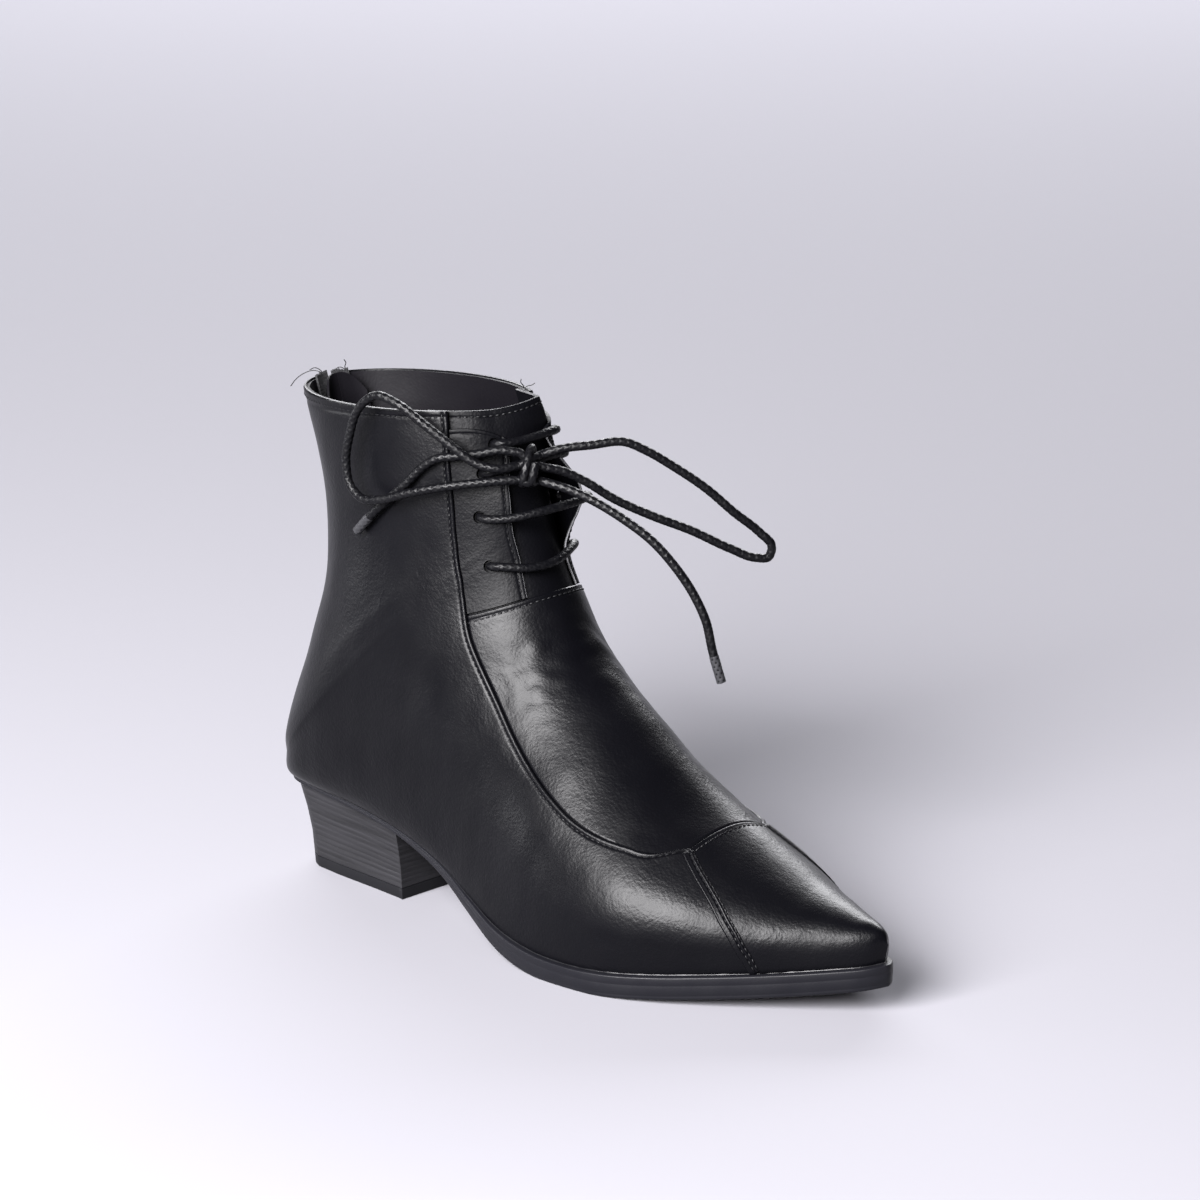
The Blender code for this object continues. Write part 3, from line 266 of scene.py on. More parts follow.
def sole_height(station):
    return EDGE + LAST["spring"](station) * TOE_SPRING + LAST["lift"](station) * HEEL_LIFT


def skin(station, share):
    u, v = np.broadcast_arrays(np.asarray(station, float), np.asarray(share, float))
    ground = sole_height(u)
    foot_x = LAST["foot_x"](u) * LENGTH
    foot_z = ground + LAST["climb"](u) * SHAFT_RISE
    ridge_x = LAST["ridge_x"](u) * LENGTH
    ridge_z = ground + LAST["ridge_rise"](u) * SHAFT_RISE
    ridge_y = LAST["ridge_y"](u) * BALL_WIDTH
    foot_y = np.where(v > 0, LAST["foot_in"](u), LAST["foot_out"](u)) * BALL_WIDTH
    wide_y = np.where(v > 0, LAST["wide_in"](u), LAST["wide_out"](u)) * BALL_WIDTH
    wide_at = LAST["wide_at"](u)
    power = 2 / LAST["top_round"](u)
    low_power = 2 / HEEL["round"](u)
    around = np.abs(v)
    above = np.clip(around / WIDEST, 0, 1) * math.pi / 2
    below = np.clip((around - WIDEST) / (1 - WIDEST), 0, 1) * math.pi / 2
    cos_above = np.maximum(np.cos(above), 0)
    cos_below = np.maximum(np.cos(below), 0)
    high = around <= WIDEST
    up = np.where(high, wide_at + (1 - wide_at) * cos_above ** power,
                  wide_at * (1 - np.sin(below) ** low_power))
    y = np.where(high, ridge_y + (wide_y - ridge_y) * np.sin(above) ** power,
                 foot_y + (wide_y - foot_y) * cos_below ** low_power)
    return np.stack([foot_x + (ridge_x - foot_x) * up, y, foot_z + (ridge_z - foot_z) * up], -1) + STAND


def outward(station, share):
    u, v = np.broadcast_arrays(np.asarray(station, float), np.asarray(share, float))
    limit = np.where(u < FEATHER_END, 0.955, 0.992)
    v = np.clip(v, -limit, limit)
    u = np.clip(u, 0.35, 28.95)
    along = skin(u + 0.04, v) - skin(u - 0.04, v)
    across = skin(u, v + 0.004) - skin(u, v - 0.004)
    return unit(np.cross(across, along))


def flare(station, share):
    station, share = np.broadcast_arrays(station, share)
    along = np.clip((station - FLARE_FROM) / (FLARE_TO - FLARE_FROM), 0, 1)
    seam = seam_share(station)
    near = np.clip((seam - np.abs(share)) / (seam - slit_share(station)), 0, 1)
    most = np.where(share > 0, FACING_FLARE_IN, FACING_FLARE_OUT)
    return most * np.sin(math.pi * along) ** 2 * near * near


def front_fold(station, share):
    """How far the front is pulled out to its sharp fold below the collar."""
    high = np.clip((station - FOLD_FROM) / FOLD_GROWS_OVER, 0, 1)
    near = np.clip(1 - np.abs(share - FOLD_SHARE) / FOLD_HALF, 0, 1)
    return FOLD_OUT * high * high * (3 - 2 * high) * near ** 1.4


def facing_bend(station, share):
    seam = seam_share(station)
    slit = slit_share(station)
    around = np.abs(share)
    inside = np.clip(around / seam, 0, 1) ** 2
    outside = 1 - (around - seam) / (1 - seam)
    at_throat = np.clip(1 - np.abs(station - THROAT) / BEND_REACH, 0, 1)
    throat = THROAT_BEND * np.where(around > seam, outside, inside) * at_throat
    near = np.clip((seam - around) / (seam - slit), 0, 1)
    at_top = np.clip(1 - np.abs(station - FACING_TOP) / BEND_REACH, 0, 1)
    top = FACING_TOP_BEND * near ** CORNER_POWER * at_top
    top = np.where(station > FACING_TOP, top * (COLLAR - station) / (COLLAR - FACING_TOP), top)
    return throat - top


def share_per_metre(station, share):
    """How much share round the section a metre covers there."""
    inner = np.clip(np.abs(share) - 0.01, 0, 1)
    outer = np.clip(np.abs(share) + 0.01, 0, 1)
    run = np.linalg.norm(skin(station, -outer) - skin(station, -inner), axis=-1)
    return (outer - inner) / run


def zip_half(station):
    opening = np.clip((station - ZIP_FOOT) / (ZIP_CLOSE - ZIP_FOOT), 0, 1)
    return opening * ZIP_SLOT / 2 * share_per_metre(station, 0.99)


def rib_half(station):
    return np.minimum(TOE_RIB_WIDTH / 2 * share_per_metre(station, seam_share(station)),
                      0.45 * (1 - seam_share(station)))


def even_stations(first, last, share, count, ends=()):
    """Stations at even steps along the form, with closer ones at both ends."""
    fine = np.linspace(first, last, 1500)
    run = run_along(skin(fine, share))
    at = np.linspace(0, run[-1], count)
    near = np.array(ends) * MM
    at = np.unique(np.concatenate([at, near, run[-1] - near]))
    return np.interp(at, run, fine), at, run[-1] - at


def cloth_noise(points, size, seed):
    """A smooth seeded unevenness between about -1 and 1, with waves of about the given size."""
    rng = np.random.default_rng(seed)
    total = np.zeros(points.shape[:-1])
    for _ in range(9):
        way = rng.normal(size=3)
        way /= np.linalg.norm(way)
        total += np.sin(points @ way * (2 * math.pi / (size * rng.uniform(0.7, 1.5))) + rng.uniform(0, 6.3))
    return total / 4.0


# Meshes
def mesh_object(name, points, faces):
    mesh = bpy.data.meshes.new(name)
    mesh.from_pydata(np.asarray(points, float).tolist(), [], [tuple(f) for f in faces])
    mesh.validate()
    piece = bpy.data.objects.new(name, mesh)
    bpy.context.scene.collection.objects.link(piece)
    return piece


def grid_faces(rows, cols, start=0, flip=False, around=False):
    i, j = np.meshgrid(np.arange(rows - 1), np.arange(cols if around else cols - 1), indexing="ij")
    a = start + i * cols + j
    b = start + i * cols + (j + 1) % cols
    quads = np.stack([a, b, b + cols, a + cols], -1).reshape(-1, 4)
    return (quads[:, ::-1] if flip else quads).tolist()


def wall(name, outer, inner):
    """A closed wall between two grids of points, with a rim round all four sides."""
    rows, cols = outer.shape[:2]
    count = rows * cols
    points = np.concatenate([outer.reshape(-1, 3), inner.reshape(-1, 3)])
    faces = grid_faces(rows, cols) + grid_faces(rows, cols, count, flip=True)
    border = ([(0, j, 0, j + 1) for j in range(cols - 1)]
              + [(i, cols - 1, i + 1, cols - 1) for i in range(rows - 1)]
              + [(rows - 1, j + 1, rows - 1, j) for j in range(cols - 1)]
              + [(i + 1, 0, i, 0) for i in range(rows - 1)])
    for i0, j0, i1, j1 in border:
        a = i0 * cols + j0
        b = i1 * cols + j1
        faces.append([b, a, a + count, b + count])
    return mesh_object(name, points, faces)


def drop_at_edge(distance, radius):
    """How far a rounded edge has fallen at a distance from it."""
    t = np.clip(1 - distance / radius, 0, 1)
    return radius * (1 - np.sqrt(1 - t * t))


def close_doubles(piece, distance=1e-6):
    form = bmesh.new()
    form.from_mesh(piece.data)
    bmesh.ops.remove_doubles(form, verts=form.verts, dist=distance)
    bmesh.ops.dissolve_degenerate(form, edges=form.edges, dist=1e-7)
    bmesh.ops.recalc_face_normals(form, faces=form.faces)
    form.to_mesh(piece.data)
    form.free()


def select_only(*pieces):
    """Selects these pieces and no other, the last one active."""
    bpy.ops.object.select_all(action="DESELECT")
    for piece in pieces:
        piece.select_set(True)
    bpy.context.view_layer.objects.active = pieces[-1]


def finish(piece, material, slot, *nodes, angle=40):
    """Gives a piece its material and smooth shading, hangs it on the boot's body, and hides the frame's nodes
    that it stands for. The slot is not used.
    """
    piece.data.materials.clear()
    piece.data.materials.append(material)
    select_only(piece)
    bpy.ops.object.shade_smooth_by_angle(angle=math.radians(angle))
    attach(piece, "boot")
    if nodes:
        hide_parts(*nodes)
    return piece


# Materials
def new_look(name, colour, roughness, **sockets):
    material = bpy.data.materials.new(name)
    material.use_nodes = True
    nodes = material.node_tree.nodes
    shader = nodes["Principled BSDF"]
    shader.inputs["Base Color"].default_value = (*colour, 1)
    shader.inputs["Roughness"].default_value = roughness
    for key, value in sockets.items():
        shader.inputs[key.replace("_", " ")].default_value = value
    return material, nodes, material.node_tree.links, shader


def texture(nodes, links, kind, scale, source="Object", **values):
    where = nodes.new("ShaderNodeTexCoord")
    node = nodes.new(kind)
    links.new(where.outputs[source], node.inputs["Vector"])
    node.inputs["Scale"].default_value = scale
    for key, value in values.items():
        node.inputs[key.replace("_", " ")].default_value = value
    return node


def span(nodes, links, value, low, high, to_low, to_high):
    node = nodes.new("ShaderNodeMapRange")
    links.new(value, node.inputs["Value"])
    for key, number in (("From Min", low), ("From Max", high), ("To Min", to_low), ("To Max", to_high)):
        node.inputs[key].default_value = number
    return node.outputs["Result"]


def bump(nodes, links, shader, layers):
    """Bumps stacked on each other: each a height and how tall it is in millimetres."""
    last = None
    for height, tall in layers:
        node = nodes.new("ShaderNodeBump")
        node.inputs["Distance"].default_value = tall * MM
        node.inputs["Strength"].default_value = 1.0
        links.new(height, node.inputs["Height"])
        if last:
            links.new(last, node.inputs["Normal"])
        last = node.outputs["Normal"]
    links.new(last, shader.inputs["Normal"])


def leather_look(name, colour, roughness, grain=0.05, crinkle=0.10, gloss=0.11):
    """Smooth coated leather: a fine soft pebble, with faint crinkles and broad patches of gloss."""
    material, nodes, links, shader = new_look(name, colour, roughness, Specular_IOR_Level=gloss)
    pebble = texture(nodes, links, "ShaderNodeTexVoronoi", 1150)
    pebble.feature = "SMOOTH_F1"
    fine = texture(nodes, links, "ShaderNodeTexNoise", 2400, Detail=3.0)
    small = texture(nodes, links, "ShaderNodeTexNoise", 480, Detail=3.0, Roughness=0.55)
    broad = texture(nodes, links, "ShaderNodeTexNoise", 70, Detail=4.0, Roughness=0.5)
    soft = texture(nodes, links, "ShaderNodeTexNoise", 24, Detail=3.0)
    links.new(span(nodes, links, broad.outputs["Fac"], 0.3, 0.7, roughness - 0.03, roughness + 0.06),
              shader.inputs["Roughness"])
    mix = nodes.new("ShaderNodeMix")
    mix.data_type = "RGBA"
    links.new(soft.outputs["Fac"], mix.inputs["Factor"])
    mix.inputs["A"].default_value = (*(c * 0.8 for c in colour), 1)
    mix.inputs["B"].default_value = (*(c * 1.25 for c in colour), 1)
    links.new(mix.outputs["Result"], shader.inputs["Base Color"])
    bump(nodes, links, shader, (
        (pebble.outputs["Distance"], grain),
        (fine.outputs["Fac"], grain * 0.5),
        (small.outputs["Fac"], crinkle),
        (broad.outputs["Fac"], 0.12)))
    return material


def rubber_look(name, colour, roughness):
    """Moulded rubber with a dull, slightly patchy skin."""
    material, nodes, links, shader = new_look(name, colour, roughness, Specular_IOR_Level=0.13)
    fine = texture(nodes, links, "ShaderNodeTexNoise", 1500, Detail=4.0)
    patch = texture(nodes, links, "ShaderNodeTexNoise", 90, Detail=4.0)
    links.new(span(nodes, links, patch.outputs["Fac"], 0.3, 0.7, roughness - 0.08, roughness + 0.1),
              shader.inputs["Roughness"])
    bump(nodes, links, shader, ((fine.outputs["Fac"], 0.04), (patch.outputs["Fac"], 0.08)))
    return material


def stack_look(name, colour):
    """The heel block: a grey black stack with fine level lines and rubbed streaks."""
    material, nodes, links, shader = new_look(name, colour, 0.55, Specular_IOR_Level=0.25)
    where = nodes.new("ShaderNodeTexCoord")
    stretch = nodes.new("ShaderNodeMapping")
    stretch.inputs["Scale"].default_value = (12.0, 12.0, 330.0)
    streak = nodes.new("ShaderNodeTexNoise")
    streak.inputs["Scale"].default_value = 2.2
    streak.inputs["Detail"].default_value = 6.0
    links.new(where.outputs["Object"], stretch.inputs["Vector"])
    links.new(stretch.outputs["Vector"], streak.inputs["Vector"])
    fine = texture(nodes, links, "ShaderNodeTexNoise", 700, Detail=4.0)
    ramp = nodes.new("ShaderNodeValToRGB")
    ramp.color_ramp.elements[0].position = 0.35
    ramp.color_ramp.elements[0].color = (*(c * 0.65 for c in colour), 1)
    ramp.color_ramp.elements[1].position = 0.72
    ramp.color_ramp.elements[1].color = (*(c * 1.6 for c in colour), 1)
    links.new(streak.outputs["Fac"], ramp.inputs["Fac"])
    links.new(ramp.outputs["Color"], shader.inputs["Base Color"])
    links.new(span(nodes, links, streak.outputs["Fac"], 0.3, 0.75, 0.5, 0.72), shader.inputs["Roughness"])
    bump(nodes, links, shader, ((streak.outputs["Fac"], 0.16), (fine.outputs["Fac"], 0.05)))
    return material


def cloth_look(name, colour, pitch, roughness=0.8):
    """Woven cloth: threads both ways, read off the object's own coordinates."""
    material, nodes, links, shader = new_look(name, colour, roughness, Specular_IOR_Level=0.25)
    layers = []
    for direction in ("X", "Z"):
        band = texture(nodes, links, "ShaderNodeTexWave", 1 / (pitch * MM) / 6.28, Distortion=0.3)
        band.bands_direction = direction
        layers.append((band.outputs["Fac"], 0.10))
    fuzz = texture(nodes, links, "ShaderNodeTexNoise", 2200, Detail=3.0)
    layers.append((fuzz.outputs["Fac"], 0.08))
    bump(nodes, links, shader, layers)
    return material


def waxed_look(name, colour, roughness):
    """Waxed cord or thread, more and less shiny along it."""
    material, nodes, links, shader = new_look(name, colour, roughness, Specular_IOR_Level=0.12)
    fine = texture(nodes, links, "ShaderNodeTexNoise", 3000, Detail=3.0)
    wax = texture(nodes, links, "ShaderNodeTexNoise", 350, Detail=3.0)
    links.new(span(nodes, links, wax.outputs["Fac"], 0.35, 0.7, roughness - 0.06, roughness + 0.22),
              shader.inputs["Roughness"])
    bump(nodes, links, shader, ((fine.outputs["Fac"], 0.05),))
    return material


def metal_look(name, colour, roughness):
    """Dark plated metal with fine wear."""
    material, nodes, links, shader = new_look(name, colour, roughness, Metallic=1.0)
    fine = texture(nodes, links, "ShaderNodeTexNoise", 900, Detail=4.0)
    links.new(span(nodes, links, fine.outputs["Fac"], 0.3, 0.7, roughness - 0.06, roughness + 0.1),
              shader.inputs["Roughness"])
    bump(nodes, links, shader, ((fine.outputs["Fac"], 0.01),))
    return material


# The upper's panels
TUCK_UNDER = 0.15 * MM
COLLAR_STITCH = 2.6 * MM
ZIP_STITCH = 2.4 * MM
FACING_STITCH = 1.8 * MM
APRON_STITCH = 1.8 * MM
TOE_STITCH = 1.9 * MM
TONGUE_STITCH = 2.4 * MM
STITCH_SINK = 0.02 * MM
EDGE_STEPS = (0.0, 0.1, 0.25, 0.45, 0.7, 1.0, 1.35, 1.7, 2.0, 2.3, 2.7, 3.3, 4.0)
SKIN_THICKNESS = 1.15 * MM
STITCH_IN = 2.0 * MM
BRIM = 0.55 * MM


def stitch_valley(distance, at=STITCH_IN, deep=0.30 * MM, wide=0.40 * MM):
    return -deep * np.exp(-((distance - at) / wide) ** 2)


def swell(points, size=0.22 * MM):
    """The leather's own unevenness over the last."""
    return size * cloth_noise(points, 0.034, 11) + 0.3 * size * cloth_noise(points, 0.012, 23)


def quarter_edge(station):
    """Where the quarter begins, beside the seam."""
    return seam_share(station) - rib_half(station)


def tucked_edge(station):
    """Where a panel that lies under the quarter's edge ends."""
    return quarter_edge(station) - TUCK_UNDER * share_per_metre(station, quarter_edge(station))


def side_columns(stations, first, last, count):
    """Shares from one curve to another, closer together along the first."""
    per = share_per_metre(stations, first)
    rows = []
    for a, b, p in zip(first, last, per):
        near = a + np.array(EDGE_STEPS) * MM * p
        near = np.minimum(near, a + (b - a) * np.linspace(0, 0.3, len(EDGE_STEPS)) ** 0.8)
        rest = near[-1] + (b - near[-1]) * np.linspace(0, 1, count)[1:]
        rows.append(np.concatenate([near, rest]))
    return np.array(rows)


def make_quarter(side, name):
    """A side of the boot from the collar to the toe seam, with its edge over the apron."""
    rows, _, down = even_stations(TOE_SEAM_FOOT - 0.02, COLLAR, side * 0.5, 300, (0.3, 0.7, 1.2, 2.0, 3.0))
    first = quarter_edge(rows)
    last = 1 - zip_half(rows)
    first = np.minimum(first, 0.975)
    share = side_columns(rows, first, last, 92)
    u = np.repeat(rows[:, None], share.shape[1], axis=1)
    v = share * side
    base = skin(u, v)
    normal = outward(u, v)
    from_edge = np.linalg.norm(base - base[:, :1], axis=-1)
    from_collar = np.repeat(down[:, None], share.shape[1], axis=1)
    height = -drop_at_edge(from_edge, BRIM) - drop_at_edge(from_collar, BRIM)
    height += stitch_valley(from_edge) + stitch_valley(from_collar, COLLAR_STITCH)
    height += 0.16 * MM * np.exp(-((from_edge - 0.9 * MM) / (0.5 * MM)) ** 2)
    calm = np.clip(from_edge / (6 * MM), 0, 1) * np.clip(from_collar / (6 * MM), 0, 1)
    from_back = np.linalg.norm(base - base[:, -1:], axis=-1)
    calm = calm * np.clip(from_back / (8 * MM), 0, 1)
    slot = (u > ZIP_FOOT) * drop_at_edge(from_back, BRIM)
    height += swell(base) * calm - slot + stitch_valley(from_back, ZIP_STITCH) * (u > ZIP_FOOT)
    outer = base + normal * height[..., None]
    inner = base - normal * SKIN_THICKNESS
    if side < 0:
        outer = outer[:, ::-1]
        inner = inner[:, ::-1]
    return wall(name, outer, inner)


def make_apron(name):
    """The front panel over the instep, a step lower than the quarters."""
    half = np.linspace(0, 1, 34)
    half = np.concatenate([half[:-1] * 0.94, 0.94 + 0.06 * np.linspace(0, 1, 7)])
    round_shares = np.concatenate([-half[:0:-1], half])
    along = np.concatenate([np.linspace(0, 0.03, 7)[:-1], np.linspace(0.03, 0.97, 90),
                            np.linspace(0.97, 1, 7)[1:]])
    t, w = np.meshgrid(along, round_shares, indexing="ij")
    mid = APRON_FRONT + (THROAT - APRON_FRONT) * t
    v = w * tucked_edge(mid)
    u = APRON_FRONT + 0.02 + (THROAT + facing_bend(np.full_like(v, THROAT), v) - APRON_FRONT - 0.04) * t
    v = w * tucked_edge(u)
    base = skin(u, v)
    normal = outward(u, v)
    from_side = np.minimum(np.linalg.norm(base - base[:, :1], axis=-1),
                           np.linalg.norm(base - base[:, -1:], axis=-1))
    from_top = np.linalg.norm(base - base[-1:], axis=-1)
    from_front = np.linalg.norm(base - base[:1], axis=-1)
    calm = np.clip(np.minimum(from_side, np.minimum(from_top, from_front)) / (7 * MM), 0, 1)
    wrinkle = (0.20 * MM * np.exp(-((u - 12.6) / 1.3) ** 2)
               * cloth_noise(base * np.array([1.0, 0.35, 1.0]), 0.0065, 5))
    height = (-APRON_STEP - drop_at_edge(from_side, 0.3 * MM) - drop_at_edge(from_top, 0.35 * MM)
              - drop_at_edge(from_front, 0.3 * MM) + (swell(base) + wrinkle) * calm
              + stitch_valley(from_top, APRON_STITCH))
    outer = base + normal * height[..., None]
    inner = base - normal * (APRON_STEP + SKIN_THICKNESS)
    return wall(name, outer, inner)


def toe_edge(station):
    """The toe piece's side edge, which opens to the whole section past the toe seam's foot."""
    return np.where(station < TOE_SEAM_FOOT, 1.0, np.minimum(seam_share(station) + 0.004, 1.0))


def make_toe(name):
    """The pointed toe piece in front of the apron and between the toe seams."""
    rows = np.unique(np.concatenate([np.linspace(0.0, 1.2, 20), np.linspace(1.2, 3.85, 44),
                                     np.linspace(3.85, 4.2, 10), np.linspace(4.2, APRON_FRONT - 0.05, 44),
                                     np.linspace(APRON_FRONT - 0.05, APRON_FRONT, 6)]))
    half = np.concatenate([np.linspace(0, 0.93, 44)[:-1], np.linspace(0.93, 1, 10)])
    round_shares = np.concatenate([-half[:0:-1], half])
    rows = np.unique(np.concatenate([rows, np.linspace(TOE_SEAM_FOOT - 0.05, TOE_SEAM_FOOT + 0.12, 12)]))
    u, w = np.meshgrid(rows, round_shares, indexing="ij")
    v = w * toe_edge(u)
    base = skin(u, v)
    normal = outward(u, v)
    from_apron = np.linalg.norm(base - base[-1:], axis=-1)
    calm = np.clip(from_apron / (5 * MM), 0, 1) * np.clip(u / 1.2, 0, 1)
    height = (-drop_at_edge(from_apron, BRIM) + swell(base, 0.16 * MM) * calm
              + stitch_valley(from_apron, TOE_STITCH))
    outer = base + normal * height[..., None]
    inner = base - normal * SKIN_THICKNESS
    outer[0] = (outer[0] + outer[0, ::-1]) / 2
    puff = int(np.searchsorted(rows, 1.2))
    inner[:puff] = ((inner[puff] + inner[puff, ::-1]) / 2)[None]
    piece = wall(name, outer, inner)
    close_doubles(piece)
    return piece


def beside(station, share, offset):
    """Moves a line on the form sideways over it by metres, towards the toe or front where positive."""
    centre = skin(station, share)
    by_u = (skin(station + 0.02, share) - skin(station - 0.02, share)) / 0.04
    by_v = (skin(station, share + 0.002) - skin(station, share - 0.002)) / 0.004
    way = np.gradient(centre, axis=0)
    way = unit(way)
    side = np.cross(outward(station, share), way)
    side *= np.sign(side[len(side) // 2, 0])
    push = side * np.broadcast_to(offset, station.shape)[:, None]
    uu = (by_u * by_u).sum(1)
    uv = (by_u * by_v).sum(1)
    vv = (by_v * by_v).sum(1)
    pu = (push * by_u).sum(1)
    pv = (push * by_v).sum(1)
    room = uu * vv - uv * uv
    return station + (vv * pu - uv * pv) / room, share + (uu * pv - uv * pu) / room


def rib_line(side):
    """The toe seam's middle, at even steps from the sole to the apron's corner."""
    rows = np.linspace(3.935, APRON_FRONT - 0.01, 600)
    share = seam_share(rows)
    points = skin(rows, side * share)
    run = run_along(points)
    at = np.linspace(0, run[-1], 130)
    return np.interp(at, run, rows), side * np.interp(at, run, share), at


RIB_ROWS = (0.25 * MM, 1.65 * MM)
RIB_HALF = 2.2 * MM


def make_toe_rib(side, name):
    """The raised, double stitched strip that covers the seam between the toe piece and the quarter."""
    rows, share, run = rib_line(side)
    across = np.linspace(-RIB_HALF, RIB_HALF, 31)
    grid = [beside(rows, share, w) for w in across]
    u = np.stack([g[0] for g in grid], 1)
    v = np.clip(np.stack([g[1] for g in grid], 1), -0.998, 0.998)
    base = skin(u, v)
    normal = outward(u, v)
    crown = 1 - np.abs(across / RIB_HALF) ** 8
    profile = 0.72 * MM * crown + 0.14 * MM * np.exp(-((across + 1.75 * MM) / (0.35 * MM)) ** 2)
    for at in RIB_ROWS:
        profile = profile - 0.42 * MM * np.exp(-((across - at) / (0.30 * MM)) ** 2)
    ends = np.clip(np.minimum(run, run[-1] - run) / (1.0 * MM), 0, 1) ** 0.5
    height = ends[:, None] * profile[None] - 0.10 * MM
    outer = base + normal * height[..., None]
    inner = base - normal * (0.5 * MM)
    if side > 0:
        outer = outer[:, ::-1]
        inner = inner[:, ::-1]
    return wall(name, outer, inner)


def facing_grid(side):
    """A facing's stations and shares, from the slit's edge outward and from the throat up."""
    along = np.concatenate([np.linspace(0, 0.02, 5)[:-1], np.linspace(0.02, 0.97, 100),
                            np.linspace(0.97, 1, 9)[1:]])
    across = np.concatenate([np.linspace(0, 0.1, 9)[:-1], np.linspace(0.1, 1, 34)])
    t, w = np.meshgrid(along, across, indexing="ij")
    mid = THROAT + (FACING_TOP - THROAT) * t
    v = slit_share(mid) + (quarter_edge(mid) - slit_share(mid)) * w
    low = THROAT + facing_bend(np.full_like(v, THROAT), v) + 0.05
    high = FACING_TOP + facing_bend(np.full_like(v, FACING_TOP), v)
    u = low + (high - low) * t
    v = slit_share(u) + (tucked_edge(u) - slit_share(u)) * w
    return u, v * side


def make_facing(side, name):
    """A laced front panel, its edge free over the tongue."""
    u, v = facing_grid(side)
    base = skin(u, v)
    normal = outward(u, v)
    from_slit = np.linalg.norm(base - base[:, :1], axis=-1)
    from_top = np.linalg.norm(base - base[-1:], axis=-1)
    calm = np.clip(np.minimum(from_slit, from_top) / (5 * MM), 0, 1)
    lift = flare(u, v) + front_fold(u, v)
    height = (lift - FACING_STEP - drop_at_edge(from_slit, 0.5 * MM) - drop_at_edge(from_top, 0.5 * MM)
              + stitch_valley(from_slit, FACING_STITCH) + stitch_valley(from_top, FACING_STITCH)
              + swell(base, 0.18 * MM) * calm)
    outer = base + normal * height[..., None]
    inner = base + normal * (lift - WALL + 0.1 * MM)[..., None]
    if side < 0:
        outer = outer[:, ::-1]
        inner = inner[:, ::-1]
    return wall(name, outer, inner)


def over_facing(station, share, height):
    """A point at a height over the facing's outer face."""
    lift = flare(station, share) + front_fold(station, share) - FACING_STEP + height
    return skin(station, share) + outward(station, share) * np.asarray(lift)[..., None]


def punch(piece, side):
    """The lace holes, punched through a facing."""
    form = bmesh.new()
    for station, share, _ in LACE_ROWS:
        place = over_facing(station, side * share, 0.0)
        turn = Vector(outward(station, side * share)).to_track_quat("Z", "Y").to_matrix().to_4x4()
        bmesh.ops.create_cone(form, cap_ends=True, segments=28, depth=12 * MM, radius1=LACE_HOLE / 2,
                              radius2=LACE_HOLE / 2, matrix=Matrix.Translation(place) @ turn)
    mesh = bpy.data.meshes.new("hole_pins")
    form.to_mesh(mesh)
    form.free()
    pins = bpy.data.objects.new("hole_pins", mesh)
    bpy.context.scene.collection.objects.link(pins)
    cut = piece.modifiers.new("holes", "BOOLEAN")
    cut.operation = "DIFFERENCE"
    cut.solver = "EXACT"
    cut.object = pins
    select_only(piece)
    bpy.ops.object.modifier_apply(modifier=cut.name)
    bpy.data.objects.remove(pins, do_unlink=True)


def make_tongue(name):
    """The tongue behind the facings, with the band that shows at the collar's front."""
    along = np.concatenate([np.linspace(0, 0.97, 110), np.linspace(0.97, 1, 9)[1:]])
    round_shares = np.linspace(-1, 1, 64)
    t, w = np.meshgrid(along, round_shares, indexing="ij")
    u = TONGUE_FOOT + (COLLAR - TONGUE_FOOT) * t
    v = w * (seam_share(u) + 0.06)
    base = skin(u, v)
    normal = outward(u, v)
    from_top = np.linalg.norm(base - base[-1:], axis=-1)
    folds = 0.45 * MM * cloth_noise(base * np.array([1.0, 0.25, 1.0]), 0.026, 31)
    folds = folds * np.clip(1 - np.abs(w), 0, 1) ** 0.5
    folds = np.minimum(folds, 0.15 * MM) * np.clip(from_top / (9 * MM), 0, 1)
    fold = front_fold(u, v)
    height = (fold - (WALL + GAP) + folds - drop_at_edge(from_top, BRIM)
              + stitch_valley(from_top, TONGUE_STITCH))
    outer = base + normal * height[..., None]
    inner = base + normal * (fold - (WALL + GAP + TONGUE_THICKNESS))[..., None]
    return wall(name, outer, inner)


def make_lining(name, first, last, low, high):
    """The lining behind the panels, between two curves round the section."""
    rows, _, _ = even_stations(first, last, 0.6, 90)
    across = np.linspace(0, 1, 60)
    a = low(rows)
    b = high(rows)
    v = a[:, None] + (b - a)[:, None] * across[None]
    u = np.repeat(rows[:, None], len(across), axis=1)
    base = skin(u, v)
    normal = outward(u, v)
    crumple = 0.12 * MM * cloth_noise(base, 0.016, 41)
    outer = base - normal * (SKIN_THICKNESS + APRON_STEP * (u < THROAT) + 0.06 * MM)[..., None]
    inner = base - normal * (WALL + crumple)[..., None]
    return wall(name, outer, inner)


